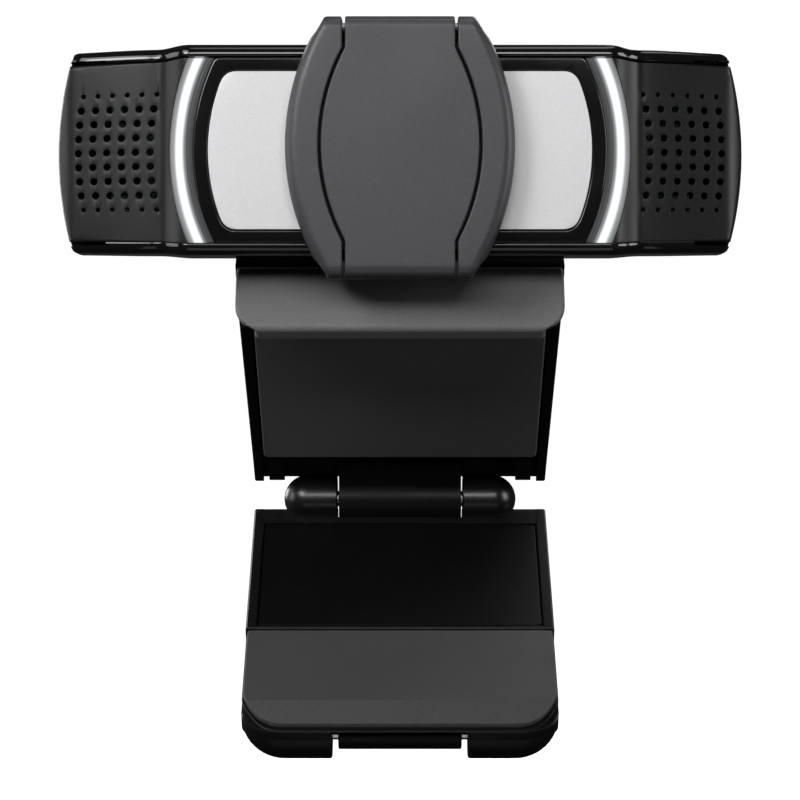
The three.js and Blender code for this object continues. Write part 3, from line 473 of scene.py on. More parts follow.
# ---- materials
def add_node(tree, kind, inputs=None):
    """Shader node with the named inputs set."""
    made = tree.nodes.new("ShaderNode" + kind)
    for name, value in (inputs or {}).items():
        made.inputs[name].default_value = value
    return made


def wire(tree, *links):
    for source, output, target, name in links:
        tree.links.new(source.outputs[output], target.inputs[name])


def noise_at(tree, coords, scale, detail, stretch=None):
    """Noise over the piece's own coordinates."""
    noise = add_node(tree, "TexNoise", {"Scale": scale, "Detail": detail})
    if stretch:
        mapping = add_node(tree, "Mapping", {"Scale": stretch})
        wire(tree, (coords, "Object", mapping, "Vector"), (mapping, "Vector", noise, "Vector"))
    else:
        wire(tree, (coords, "Object", noise, "Vector"))
    return noise


def grain(tree, shader, noise, strength, depth):
    """Fine moulded texture as bump."""
    bump = add_node(tree, "Bump", {"Strength": strength, "Distance": depth})
    wire(tree, (noise, "Fac", bump, "Height"), (bump, "Normal", shader, "Normal"))


def vary_roughness(tree, shader, noise, low, high):
    limits = {"From Min": 0.3, "From Max": 0.7, "To Min": low, "To Max": high}
    spread = add_node(tree, "MapRange", limits)
    wire(tree, (noise, "Fac", spread, "Value"), (spread, "Result", shader, "Roughness"))


def mottle(tree, shader, noise, color, amount, wear):
    """Base colour with a fine speckle, and lighter worn edges."""
    ramp = add_node(tree, "ValToRGB")
    for stop, spot, change in zip(ramp.color_ramp.elements, (0.35, 0.65), (-amount, amount)):
        stop.position = spot
        stop.color = [min(1, c * (1 + change)) for c in color] + [1]
    wire(tree, (noise, "Fac", ramp, "Fac"))
    result = (ramp, "Color")
    if wear:
        geometry = add_node(tree, "NewGeometry")
        edge = add_node(tree, "MapRange", {"From Min": 0.53, "From Max": 0.66, "To Max": wear})
        mix = add_node(tree, "Mix")
        mix.data_type = "RGBA"
        mix.inputs["B"].default_value = [min(1, c * 1.8 + 0.03) for c in color] + [1]
        wire(
            tree, (geometry, "Pointiness", edge, "Value"), (edge, "Result", mix, "Factor"),
            (*result, mix, "A"),
        )
        result = (mix, "Result")
    wire(tree, (*result, shader, "Base Color"))


def surface(
    name, color, rough, fine, speckle, patch=90, wear=0.0, detail=3.0, stretch=None, inputs=None
):
    """Material with bump grain, uneven roughness and speckled colour.

    rough is a range, fine the grain's (scale, strength, depth), speckle (scale, amount), patch the
    scale of the uneven roughness, and inputs the shader's other values.
    """
    material = bpy.data.materials.new(name)
    material.use_nodes = True
    tree = material.node_tree
    shader = tree.nodes["Principled BSDF"]
    for key, value in (inputs or {}).items():
        shader.inputs[key].default_value = value
    coords = add_node(tree, "TexCoord")
    grain(tree, shader, noise_at(tree, coords, fine[0], detail, stretch), *fine[1:])
    vary_roughness(tree, shader, noise_at(tree, coords, patch, 4), *rough)
    mottle(tree, shader, noise_at(tree, coords, speckle[0], 2), color, speckle[1], wear)
    return material


def plastic(name, color, rough, fine, speckle=(3200, 0.12), wear=0.25, gloss=0.5, patch=90):
    """Moulded plastic or rubber."""
    level = {"Specular IOR Level": gloss}
    return surface(name, color, rough, fine, speckle, patch, wear, inputs=level)


def metal(name, color, rough, stretch=None):
    fine, speckle = (1800, 0.15, 0.00002), (900, 0.06)
    return surface(name, color, rough, fine, speckle, 300, stretch=stretch, inputs={"Metallic": 1})


def glass(name, tint, rough, coat=0.02, alpha=1.0):
    looks = {"Coat Weight": 1, "Coat Roughness": coat, "Alpha": alpha}
    return surface(name, tint, rough, (40, 0.02, 0.00001), (60, 0.05), 120, inputs=looks)


# painted glow: emitted brightness of the light guide and its trims by distance from the lens axis, standing in for
# the bright arc beside the lens and its halo
PAINTED_GLOW_LEVELS = (
    (28.3, 0.015), (28.75, 0.07), (29.1, 0.25), (29.4, 1.0), (30.2, 1.0), (30.5, 0.34), (31.05, 0.13),
)
GLOW_REACH = 60  # the gradient falls to nothing this far from the lens axis


def light_guide():
    """Light guide with a painted glow: its emission paints the bright arc, brightest in the middle of its width,
    and a halo on the trims beside it.
    """
    material = surface(
        "light_guide_painted_glow", (0.03, 0.031, 0.032), (0.3, 0.4), (900, 0.1, 0.00002), (500, 0.03), 200,
        inputs={"Specular IOR Level": 0.2, "Emission Strength": 1.0},
    )
    tree = material.node_tree
    near, far = BEZEL_R - 0.7, GRILLE_INNER
    shrink = 1 / (GLOW_REACH * MM)
    centre = (0, 0, -HEAD.translation.z * shrink)
    coords = add_node(tree, "TexCoord")
    mapping = add_node(tree, "Mapping", {"Scale": (shrink, 0, shrink), "Location": centre})
    distance = add_node(tree, "TexGradient")
    distance.gradient_type = "SPHERICAL"
    limits = {"From Min": 1 - near / GLOW_REACH, "From Max": 1 - far / GLOW_REACH}
    across = add_node(tree, "MapRange", limits)
    ramp = add_node(tree, "ValToRGB")
    stops = ramp.color_ramp.elements
    stops[0].color = (0.012, 0.012, 0.013, 1)
    stops[1].color = (0.06, 0.06, 0.065, 1)
    for radius, level in PAINTED_GLOW_LEVELS:
        spot = (radius - near) / (far - near)
        stops.new(spot).color = (0.95 * level, 0.98 * level, level, 1)
    wire(
        tree, (coords, "Object", mapping, "Vector"), (mapping, "Vector", distance, "Vector"),
        (distance, "Fac", across, "Value"), (across, "Result", ramp, "Fac"),
        (ramp, "Color", tree.nodes["Principled BSDF"], "Emission Color"),
    )
    return material


# the black that most pieces have, and its two slots
BLACK = (0.004, 0.004, 0.0045)
GLOSS, SATIN = "gloss_black_plastic", "satin_black_plastic"
BALL = plastic("hinge_ball_black", BLACK, (0.26, 0.32), (900, 0.03, 0.00001), wear=0.1)
PANEL = plastic(
    "leg_panel_black", [0.003] * 3, (0.4, 0.5), (2000, 0.1, 0.00002), (900, 0.1), 0.1, 0.08
)
# painted light: a lighter copy of the pad rubber (0.12 against 0.045) for the plate's grip pad, standing in for
# light from below
PLATE_PAD_PAINTED_LIGHT = plastic("plate_pad_rubber_painted_light", [0.12] * 3, (0.6, 0.75), (3600, 0.2, 0.00002), (3600, 0.1))
FOOT_PAD = plastic(
    "foot_pad_rubber", [0.042] * 3, (0.6, 0.75), (3600, 0.3, 0.00003), (3600, 0.1), gloss=0.3
)
COATED = glass("coated_lens", (0.012, 0.010, 0.028), (0.01, 0.04))
CLEAR = glass("clear_window", (0.02, 0.025, 0.035), (0.02, 0.05), 0.03, 0.3)

SLOT_MATERIAL = {
    GLOSS: plastic("gloss_black", BLACK, (0.07, 0.14), (30, 0.03, 0.00002), (60, 0.1), 0.1),
    SATIN: plastic("satin_black", BLACK, (0.36, 0.46), (3600, 0.15, 0.00002), gloss=0.12),
    "grille_plastic": plastic(
        "grille_plastic", (0.012, 0.012, 0.0125), (0.3, 0.38), (4200, 0.3, 0.00003), wear=0, gloss=0.22
    ),
    "shutter_plastic": plastic(
        "shutter_plastic", (0.034, 0.0345, 0.038), (0.40, 0.5), (4200, 0.3, 0.00003)
    ),
    "silver_plate": surface(
        "sparkle_silver", (0.62, 0.62, 0.63), (0.40, 0.48), (6000, 0.12, 0.00001), (5200, 0.04), 400,
        detail=2, inputs={"Metallic": 0.1},
    ),
    "light_guide": light_guide(),
    "lens_glass": glass("window_glass", (0.006, 0.007, 0.009), (0.02, 0.05)),
    "pad_rubber": plastic(
        "pad_rubber", [0.045] * 3, (0.7, 0.85), (3600, 0.25, 0.00003), (3200, 0.1)
    ),
    "lip_rubber": plastic(
        "lip_rubber", (0.122, 0.122, 0.124), (0.6, 0.75), (4200, 0.2, 0.00002), (4200, 0.08), 0.1
    ),
    "steel": metal("turned_steel", (0.55, 0.56, 0.58), (0.22, 0.34), (1, 30, 30)),
    "brass": metal("turned_brass", (0.72, 0.48, 0.16), (0.2, 0.34)),
    "circuit_board": plastic(
        "solder_mask", (0.012, 0.07, 0.035), (0.3, 0.5), (700, 0.4, 0.00005), (500, 0.3), 0, patch=300
    ),
    "chip_plastic": plastic(
        "chip_epoxy", (0.014, 0.014, 0.015), (0.5, 0.6), (3000, 0.4, 0.00004), (2000, 0.2), 0
    ),
    "felt": plastic(
        "felt_black", (0.02, 0.02, 0.022), (0.9, 1.0), (1500, 0.9, 0.0003), (1200, 0.4), 0
    ),
}
for entry in RECORD["subparts"]:
    node = frame["nodes"][entry["node"]]
    node.data.materials.clear()
    node.data.materials.append(SLOT_MATERIAL[entry["material_slot"]])


# ---- camera head
def plan_half_width(depth, inner):
    """Half width of the body at a depth, moved in by inner."""
    t = min(1.0, max(0.0, depth - CORNER_START) / (DEPTH - inner - CORNER_START))
    return BACK_HALF + (END_R - inner - BACK_HALF) * math.sqrt(max(0.0, 1 - t * t))


def body_ring(inner, depth, corner=0.8, flat_steps=120, end_steps=26):
    """Ring round the body at a depth, moved in by inner."""
    radius = HALF_H - inner
    behind = max(0.0, depth - BACK_C)
    half = math.sqrt(max(0.0, radius * radius - behind * behind))
    width = plan_half_width(depth, inner)
    end_r = END_R - inner
    corner = min(corner, half * 0.5)

    def end_x(z):
        base = math.sqrt(end_r * end_r - z * z) - (end_r - width)
        over = abs(z) - (half - corner)
        if over <= 0 or corner <= 0:
            return base
        return base - (corner - math.sqrt(max(0.0, corner * corner - over * over)))

    heights = [-half * math.cos(math.pi * i / end_steps) for i in range(end_steps + 1)]
    right = [(end_x(z), z) for z in heights]
    reach = right[-1][0]
    top = [(reach * (1 - 2 * i / flat_steps), half) for i in range(1, flat_steps)]
    left = [(-x, z) for x, z in right[::-1]]
    ring = right + top + left + [(-x, -z) for x, z in top]
    carried = 1 - smooth(2, 16, depth)
    points = []
    for x, z in ring:
        lower = drop(x) * (z / half if half > 1e-6 else 0) * smooth(0, 6, half)
        rise = BELLY_RISE * max(0.0, -z / HALF_H) ** 3
        points.append(Vector((x, depth + sweep(x) * carried, z - lower + rise)))
    return points


def rear_housing():
    rim_inner, rim_outer = 0.3, 1.35
    levels = []
    back_turns = quarter_turns(18)
    for turn in back_turns[::-1]:
        levels.append((WALL, BACK_C + (HALF_H - WALL) * math.sin(turn)))
    levels += [(WALL, 6.0), (WALL, 3.0), (WALL, 1.2)]
    for t in quarter_turns(4):
        levels.append((WALL - rim_inner * (1 - math.cos(t)), rim_inner * (1 - math.sin(t))))
    for t in quarter_turns(8):
        levels.append((rim_outer * (1 - math.sin(t)), rim_outer * (1 - math.cos(t))))
    groove = 0.16
    levels += [(0, 1.9), (0, 2.22), (groove, 2.28), (groove, 2.46), (0, 2.52), (0, 4.0), (0, 6.5)]
    for turn in back_turns:
        levels.append((0, BACK_C + HALF_H * math.sin(turn)))
    bm = bmesh.new()
    rings = [[bm.verts.new(p) for p in body_ring(inner, depth)] for inner, depth in levels]
    bridge(bm, rings)
    piece = make("rear_shell", bm, ON_HEAD, GLOSS, ["rear_housing"])
    boolean(piece, rod(15, 30, 2.95, (GLAND_X, 0, 0), "y", 48), HEAD)
    half = FACE_HALF + 0.1
    for _, side in SIDES:
        near, far = sorted((side * 40, side * 50))
        seat = prism_mesh(
            [rectangle((near, -half), (far, half))], -2, GRILLE_SEAT, 0.02, "front", steps=1
        )
        boolean(piece, seat, HEAD)


def lug_loops(spot, way, roots):
    """Outline and pin hole of a tilt lug, round about spot, with its roots at two heights."""
    y, z = spot.y, spot.z
    tip = z + way * LUG_R
    corner = LUG_R - 0.02
    outline = rounded([
        (y - LUG_R, roots[0]), (y - LUG_R, tip, corner), (y + LUG_R, tip, corner), (y + LUG_R, roots[1]),
    ], 12)
    return [outline, circle((y, z), TILT_HOLE, 24)]


def tilt_lugs():
    for word, side in SIDES:
        near, far = sorted((side * 5.8, side * 8.8))
        bm = prism_mesh(lug_loops(TILT, -1, (-9.5, -7.5)), near, far, 0.3, "side")
        make(f"{word}_tilt_lug", bm, ON_HEAD, GLOSS)


def front_bezel():
    outline = arc_ended(BEZEL_R - 0.75, FACE_HALF, 0.5, 40)
    pocket = arc_ended(PLATE_R + 0.12, PLATE_HALF + 0.12, 1.7, 40)
    hole = circle((0, 0), LENS_HOLE, 96)
    ring = prism_mesh([outline, pocket], 0, 0.8, 0.22, "front")
    make("bezel_frame", ring, ON_HEAD, GLOSS, ["front_bezel"])
    back = prism_mesh([arc_ended(BEZEL_R - 0.1, FACE_HALF - 0.1), hole], 0.75, 2.0, 0.1, "front")
    make("bezel_floor", back, ON_HEAD, GLOSS)
    plate_hole = circle((0, 0), LENS_HOLE + 0.4, 96)
    plate = prism_mesh([arc_ended(PLATE_R, PLATE_HALF, 1.6, 40), plate_hole], 0, 0.45, 0.1, "front")
    make("silver_face_plate", plate, ON_HEAD, "silver_plate", ["face_plate"])


def bend_to_sweep(bm, lift=0.0):
    """Cuts a flat front piece at many x and moves it back along the body's sweep."""
    for i in range(BEND_CUTS):
        for _, side in SIDES:
            cut_across(bm, (side * (BEND_FIRST + i * BEND_PITCH), 0, 0), (1, 0, 0))
    for v in bm.verts:
        v.co.y += sweep(v.co.x) + lift
        v.co.z -= drop(v.co.x) * v.co.z / HALF_H


def grille_edge(point):
    """The panel's free outer end is well rounded, its other edges are crisp."""
    return 0.55 if math.hypot(*point) > GRILLE_OUTER - 0.1 else 0.09


def grilles():
    for word, side in SIDES:
        loops = [arc_band(GRILLE_INNER, GRILLE_OUTER, FACE_HALF, side)]
        for row in range(-HOLE_ROWS, HOLE_ROWS + 1):
            z = row * HOLE_PITCH
            radius = 0.32 if abs(row) == HOLE_ROWS else 0.5
            for column in range(HOLE_COLUMNS):
                reach = HOLE_FIRST + column * HOLE_PITCH
                x = side * math.sqrt(reach * reach - z * z)
                loops.append(circle((x, z), radius, 16))
        bm = prism_mesh(loops, 0, 1.2, 0.09, "front", grille_edge)
        bend_to_sweep(bm, 0.25)
        for v in bm.verts:
            v.co.y += 0.9 * smooth(44.4, 47.2, abs(v.co.x)) ** 1.5
        make(
            f"{word}_grille_panel", bm, ON_HEAD, "grille_plastic", [f"{word}_grille"],
            angle=math.radians(17),
        )


def light_bars():
    for word, side in SIDES:
        half = FACE_HALF - 0.05
        bm = prism_mesh([arc_band(BAR_INNER, BAR_OUTER, half, side)], 0.15, 3.0, 0.3, "front")
        bend_to_sweep(bm)
        # the strip's emission paints the bright arc as a glow
        make(f"{word}_light_strip", bm, ON_HEAD, "light_guide", [f"{word}_light_bar"])
        for where, inner, outer in (
            ("inner", BEZEL_R - 0.7, BAR_INNER - 0.03), ("outer", BAR_OUTER + 0.03, GRILLE_INNER - 0.04),
        ):
            bm = prism_mesh([arc_band(inner, outer, half, side)], 0.1, 2.0, 0.12, "front")
            bend_to_sweep(bm, 0.05)
            # the trims take the light guide's painted glow as a halo beside the strip
            make(f"{word}_{where}_bar_trim", bm, ON_HEAD, "light_guide")


def lens_stack():
    ring = [(1.7, 7.3), (0.5, 7.3), (0.5, 6.5)]
    ridges = [(0.5 - 0.06 * i + (0.05 if i % 2 else 0), 6.5 + 0.17 * i) for i in range(1, 11)]
    ring += ridges + [(-0.28, 8.25), (-0.3, 8.45), (-0.1, 8.65), (0.1, 8.7), (1.7, 8.7), (1.7, 7.3)]
    bm = turned_mesh(ring, (0, 0, 0), "y", 128)
    make("lens_trim_ring", bm, ON_HEAD, GLOSS, ["lens_ring"])
    window = round_profile([(0.8, 0), (0.8, 7, 0.12), (1.6, 7, 0.12), (1.6, 0)])
    bm = turned_mesh(window, (0, 0, 0), "y", 96)
    piece = make("front_window", bm, ON_HEAD, "lens_glass", ["lens_window"], CLEAR)
    piece.visible_shadow = False
    barrel = [(2.4, 3.7), (2.4, 5.0), (2.5, 5.1), (6, 5.1), (6, 2.6), (4.3, 2.6), (4.3, 3.7)]
    steps = [(4.3 - 0.3 * i, 3.7 + (0.12 if i % 2 else 0)) for i in range(1, 6)]
    bm = turned_mesh(barrel + steps + [(2.4, 3.7)], (0, 0, 0), "y", 96)
    make("stepped_lens_barrel", bm, ON_CARRIER, SATIN, ["lens_barrel"])
    dome = [(2.5 + 0.7 * (i / 12) ** 2, 3.4 * i / 12) for i in range(13)]
    bm = turned_mesh(dome + [(4, 3.4), (4, 0)], (0, 0, 0), "y", 96)
    make("front_lens_element", bm, ON_CARRIER, "lens_glass", ["front_lens"], COATED)


def gland():
    profile = round_profile([
        (19.9, 2), (19.9, 3.9, 0.2), (21.2, 3.9, 0.2), (21.2, 2.7), (24.3, 2.7), (24.3, 4.1, 0.2),
        (25.1, 4.1, 0.3), (25.6, 3.1, 0.3), (25.6, 2.2, 0.15), (25.3, 2), (19.9, 2),
    ])
    bm = turned_mesh(profile, (GLAND_X, 0, 0), "y", 64)
    make("gland_bush", bm, ON_HEAD, "pad_rubber", ["cable_gland"])


# ---- shutter
def seam(z, extra=0.0):
    """Half width of the flap at height z."""
    over = abs(z - SHUTTER_CENTRE)
    if over >= SEAM_HALF:
        return SEAM_STRAIGHT + extra
    bulge = SEAM_REACH - SEAM_STRAIGHT
    radius = (SEAM_HALF ** 2 + bulge ** 2) / (2 * bulge)
    return SEAM_REACH - radius + math.sqrt(radius * radius - over * over) + extra


def side_x(z):
    """Half width of the shutter's frame at height z."""
    return SIDE_REACH - SIDE_R + math.sqrt(SIDE_R ** 2 - (z - SHUTTER_CENTRE) ** 2)


def strip_mesh(stations, steps=6):
    """Bent strip. A station is (outer (y, z), inner (y, z), x from, x to, radii), where radii are
    those of its four edges: outer from, outer to, inner to, inner from."""
    rings = []
    for outer, inner, x0, x1, radii in stations:
        outer, inner = Vector(outer), Vector(inner)
        thick = (inner - outer).length
        across = (inner - outer).normalized()
        limit = 0.49 * min(thick, abs(x1 - x0))
        spots = ((x0, 0), (x1, 0), (x1, thick), (x0, thick))
        corners = [(*spot, min(radius, limit)) for spot, radius in zip(spots, radii)]
        section = rounded(corners, steps)
        rings.append([Vector((x, *(outer + across * d))) for x, d in section])
    return loft_mesh(rings)


def shutter_frame():
    wrap = HALF_H + 0.35
    edge = SHUTTER_EDGE
    front, back = SHUTTER_FRONT, -0.4
    top_turn = arc((front + edge, SHUTTER_TOP - edge), edge, 90, 180, 10)
    low_turn = arc((front + edge, SHUTTER_BOTTOM + edge), edge, 180, 270, 10)
    face = line((front, SHUTTER_TOP - edge), (front, SHUTTER_BOTTOM + edge), 60)[1:-1]
    for word, side in SIDES:
        stations = []

        def add(outer, inner, z, outside=edge):
            near, far = seam(z, SEAM_GAP), side_x(z)
            stations.append((outer, inner, side * near, side * far, (0.25, outside, 0.3, 0.15)))

        hook = SHUTTER_HOOK
        for y, shrink in ((hook, 0.3), (hook - 0.1, 0.1), (hook - 0.3, 0), (6, 0), (3, 0), (0, 0)):
            add((y, SHUTTER_TOP - shrink), (y, wrap + shrink), SHUTTER_TOP, 0.6)
        for i, outer in enumerate(top_turn):
            add(outer, (back, wrap), outer[1], 0.6 + (edge - 0.6) * i / (len(top_turn) - 1))
        for outer in face:
            add(outer, (back, max(-wrap, min(wrap, outer[1]))), outer[1])
        for i, outer in enumerate(low_turn):
            add(outer, (back, -wrap), outer[1], edge + (0.6 - edge) * i / (len(low_turn) - 1))
        for y, shrink in ((1.5, 0), (3.5, 0), (5.2, 0), (5.4, 0.1), (5.5, 0.3)):
            add((y, SHUTTER_BOTTOM + shrink), (y, -wrap - shrink), SHUTTER_BOTTOM, 0.6)
        node = ["shutter_frame"] if side > 0 else []
        bm = strip_mesh(stations)
        make(f"{word}_shutter_arm", bm, ON_HEAD, "shutter_plastic", node)
    half = SEAM_STRAIGHT + SEAM_GAP + 0.4
    bridge_front = FLAP_HINGE.y + 1.9
    top = SHUTTER_TOP - 1
    low = SHUTTER_BOTTOM + 0.12
    for name, span, levels in (
        ("shutter_top_bridge", (bridge_front, SHUTTER_HOOK - 0.2), (wrap + 0.1, top)),
        ("shutter_lower_bridge", (-1.6, 5.3), (low, -wrap - 0.1)),
    ):
        outline = rectangle((span[0], levels[0]), (span[1], levels[1]), 0.4)
        bm = prism_mesh([outline], -half, half, 0.05, "side")
        make(name, bm, ON_HEAD, "shutter_plastic")


def seam_shade_strips():
    """Ledges of the frame behind the flap's edges, so that nothing shows through the seams; they are black, not
    the frame's grey, as painted shade in the seams.
    """
    levels = [13.8 * (2 * i / 40 - 1) + SHUTTER_CENTRE for i in range(41)]
    for word, side in SIDES:
        outer = [(side * (seam(z) + 1.0), z) for z in levels]
        inner = [(side * (seam(z) - 0.9), z) for z in levels[::-1]]
        bm = prism_mesh([outer + inner], SHUTTER_FRONT + 2.3, SHUTTER_FRONT + 3.1, 0.1, "front")
        # satin black: painted shade that darkens the seams
        make(f"{word}_seam_shade_strip", bm, ON_HEAD, SATIN)


def shutter_flap():
    hinge = FLAP_HINGE
    front, edge = SHUTTER_FRONT, SHUTTER_EDGE
    back = front + 2
    stations = []

    def add(outer, inner, z):
        half = seam(z)
        stations.append((outer, inner, -half, half, (0.25, 0.25, 0.18, 0.18)))

    for outer in line((front, hinge.z), (front, SHUTTER_BOTTOM + edge), 60)[:-1]:
        add(outer, (back, outer[1]), outer[1])
    for outer in arc((front + edge, SHUTTER_BOTTOM + edge), edge, 180, 270, 10):
        low = min(outer[1] + 0.1, SHUTTER_BOTTOM + edge) if outer[0] < back - 0.9 else outer[1]
        add(outer, (back, max(low, SHUTTER_BOTTOM)), outer[1])
    bm = strip_mesh(stations[:-1])
    make("flap_panel", bm, ON_FLAP, "shutter_plastic", ["shutter_flap"])
    half, radius = SEAM_STRAIGHT, hinge.y - front
    profile = round_profile([
        (-half, 0.85), (-half, radius, 0.25), (half, radius, 0.25), (half, 0.85), (-half, 0.85),
    ])
    bm = turned_mesh(profile, (0, hinge.y, hinge.z), "x", 64)
    make("flap_knuckle", bm, ON_FLAP, "shutter_plastic")
    low, high = box_mm("flap_pad", HEAD)
    bm = prism_mesh([circle((0, 0), high.x, 96)], low.y, high.y, 0.3, "front")
    make("flap_felt", bm, ON_FLAP, "felt", ["flap_pad"])


# ---- clip
def lip():
    """Grey cover over the front hook of the clip."""
    skin, foot_r = 1.1, 0.9
    outer_r = LIP_TOP + LIP_THICK
    bottom = foot_r - LIP_DROP
    stations = []

    def half_at(v):
        over = -v - (LIP_DROP - LIP_CORNER)
        if over <= 0:
            return LIP_HALF
        return LIP_HALF - LIP_CORNER + math.sqrt(max(0.0, LIP_CORNER ** 2 - over ** 2))

    def add(outer, inner, half):
        stations.append((outer, inner, -half, half, (0.6, 0.6, 0.15, 0.15)))

    centre = Vector((LIP_TOP, LIP_TOP))
    for turn in quarter_turns(12):
        out = Vector((-math.sin(turn), math.cos(turn)))
        add(centre + out * outer_r, centre + out * (outer_r - skin), LIP_HALF)
    for _, v in line((0, LIP_TOP), (0, bottom), 32)[1:]:
        add((-LIP_THICK, v), (skin - LIP_THICK, max(v, skin - LIP_DROP)), half_at(v))
    for k, turn in enumerate(quarter_turns(6)[1:], 1):
        outer = (-LIP_THICK + foot_r * (1 - math.cos(turn)), bottom - foot_r * math.sin(turn))
        add(outer, (skin - LIP_THICK + 0.1 * k, skin - LIP_DROP), half_at(outer[1] + 0.25))
    for u in (-0.8, -0.1, 0):
        add((u, -LIP_DROP), (u, skin - LIP_DROP), half_at(0.25 - LIP_DROP))
    make("lip_cover", strip_mesh(stations), ON_CLIP, "lip_rubber", ["front_lip"])


def plate_section(u, top, under):
    """Cross-section ring of the clip plate; under is (middle, block, notch, rail) height."""
    middle, block, notch, rail = under
    edge = 0.9
    reach = CLIP_HALF + PLATE_FLARE * max(0.0, 1 - u / 50)
    half = [
        (17.7, middle), (17.7, block), (20.05, block), (20.05, notch), (20.9, notch), (20.9, rail),
        (21.05, rail), (reach - 0.2, rail), (reach, rail + 0.2),
    ] + arc((reach - edge, top - edge), edge, 0, 90, 6)
    return [Vector((x, u, v)) for x, v in half + [(-x, v) for x, v in half[::-1]]]


def clip_plate():
    pocket = (1.2, 1.2, 1.2, 0)
    bar = (0.9, 0.9, 0.9, 0)
    zone = (1.5, 0.15, 1.0, 0)
    roof = (3.75, 3.75, 3.75, 3.75)
    start = LIP_TOP + 0.12

    def top(u):
        return 4.0 + 1.5 * max(0.0, u - 16) / 41

    rows = (
        (start, 3.9, pocket), (start + 0.1, 4.0, pocket), (16, top(16), pocket), (30, top(30), pocket),
        (PAD_END + 0.25, top(45.6), pocket), (PAD_END + 0.26, top(45.6), bar),
        (PAD_END + 0.9, top(46.2), bar), (PAD_END + 0.91, top(46.2), zone), (53.0, top(53), zone),
        (53.3, top(53.3), (1.8, 0.45, 1.3, 0.3)), (53.31, top(53.3), roof), (58.2, top(56.4), roof),
        (58.65, top(56.4) - 0.35, (4.0, 4.0, 4.0, 4.0)),
    )
    bm = loft_mesh([plate_section(*row) for row in rows])
    make("plate_body", bm, ON_CLIP, SATIN, ["clip_plate"])
    core = rounded([
        (-1.25, -6.1, 0.3), (0, -6.1, 0.3), (0, 2.5), (LIP_TOP, 2.5), (LIP_TOP, 2.6), (-1.0, 2.2),
        (-1.25, 1.2),
    ])
    bm = prism_mesh([core], -21.6, 21.6, 0.4, "side")
    make("lip_core", bm, ON_CLIP, SATIN)
    hinge = (HINGE_U, -UNDER)
    knuckle = arc(hinge, KNUCKLE_R, -180, 40, 44) + [(57.0, 4.6), (50, 4.0), (50, 1.4)]
    reach = KNUCKLE_HALF + 0.2
    bm = prism_mesh([knuckle, circle(hinge, 2.5, 36)], -reach, reach, 0.12, "side")
    make("plate_knuckle", bm, ON_CLIP, SATIN)


def ridges():
    """Cradle under the body, beside the tilt hinge."""
    outline = rounded([
        (1.05, 3.9), (1.05, 4.3), (-0.2, 4.3, 0.15), (0.45, 5.46, 0.5), (1.6, 7.43, 0.8),
        (2.95, 9.07, 0.8), (4.8, 9.8, 0.8), (6.2, 8.6, 0.8), (8.0, 3.9),
    ], 4)
    for word, side in SIDES:
        near, far = sorted((side * RIDGE_INNER, side * RIDGE_OUTER))
        bm = prism_mesh([outline], near, far, 0.1, "side", steps=3)
        make(f"{word}_cradle", bm, ON_CLIP, SATIN)


def pads():
    plan = rectangle((-PAD_HALF, 0.6), (PAD_HALF, PAD_END), 0.8)
    bm = prism_mesh([plan], -0.3, 0.9, 0.25, "top")
    # the grip pad takes the lighter copy of the pad rubber, painted light from below
    make("plate_grip_pad", bm, ON_CLIP, "pad_rubber", ["plate_pad"], PLATE_PAD_PAINTED_LIGHT)
    bm = prism_mesh([rectangle((-16.7, -5.1), (16.7, -1.7), 1)], -0.2, 0.4, 0.2, "front")
    make("lip_grip_pad", bm, ON_CLIP, "pad_rubber", ["lip_pad"])


def tilt_hinge():
    base, neck_half = 4.3, 4.6
    bm = prism_mesh(lug_loops(TILT_ON_PLATE, 1, (base, base)), -neck_half, neck_half, 0.3, "side")
    make("neck_knuckle", bm, ON_CLIP, SATIN, ["tilt_neck"])
    back, near, far = TILT_ON_PLATE.y + 1.5, NECK_SCREW_U - 2.4, NECK_SCREW_U + 2.6
    plan = rounded([
        (-neck_half, back), (neck_half, back), (neck_half, near, 0.4), (9, near, 1.6),
        (9, far, 1.6), (-9, far, 1.6), (-9, near, 1.6), (-neck_half, near, 0.4),
    ])
    bm = prism_mesh([plan], base, base + 1.3, 0.3, "top")
    make("neck_foot", bm, ON_CLIP, SATIN)


def screw_head(name, node, where, spot, way, radius, rise):
    """Cross-recess head over a CAD screw; its top is at spot and the screw goes on along way."""
    bore = radius * 0.45
    profile = round_profile([
        (0, 0), (0, radius, 0.25), (rise, radius), (rise, bore), (rise + 2, bore), (rise + 2, 0),
    ])
    bm = turned_mesh([(d * way, r) for d, r in profile], spot, "z", 48)
    piece = make(name, bm, where, "steel", [node])
    for turn in (45, 135):
        long, wide = radius * 0.62, radius * 0.16
        outline = rectangle((-long, -wide), (long, wide), wide * 0.6, steps=3)
        low, high = sorted((-0.5 * way, rise * 0.75 * way))
        cutter = prism_mesh([outline], low, high, 0.02, "top", steps=1)
        turned = Matrix.Rotation(math.radians(turn), 3, "Z")
        bmesh.ops.rotate(cutter, verts=cutter.verts, matrix=turned)
        bmesh.ops.translate(cutter, verts=cutter.verts, vec=spot)
        boolean(piece, cutter, where[0])


def neck_screws():
    for word, side in SIDES:
        spot = Vector((side * NECK_SCREW_X, NECK_SCREW_U, 6.7))
        screw_head(f"{word}_neck_bolt", f"{word}_neck_screw", ON_CLIP, spot, -1, 1.7, 0.8)


# ---- leg and foot
def leg_section(s, top, rail, under, bottom=LEG_BOTTOM):
    """Cross-section ring of the leg; top is the recess height, under the rebate height."""
    edge, rail_edge = 1.4, 0.25
    half = [
        (20.9, top), (20.9, rail - 0.05), (21.0, rail), (LEG_HALF - rail_edge, rail),
        (LEG_HALF, rail - rail_edge),
    ]
    half += arc((LEG_HALF - edge, bottom + edge), edge, 0, -90, 6) + [(20.0, bottom), (20.0, under)]
    return [Vector((x, -s, w)) for x, w in half + [(-x, w) for x, w in half[::-1]]]


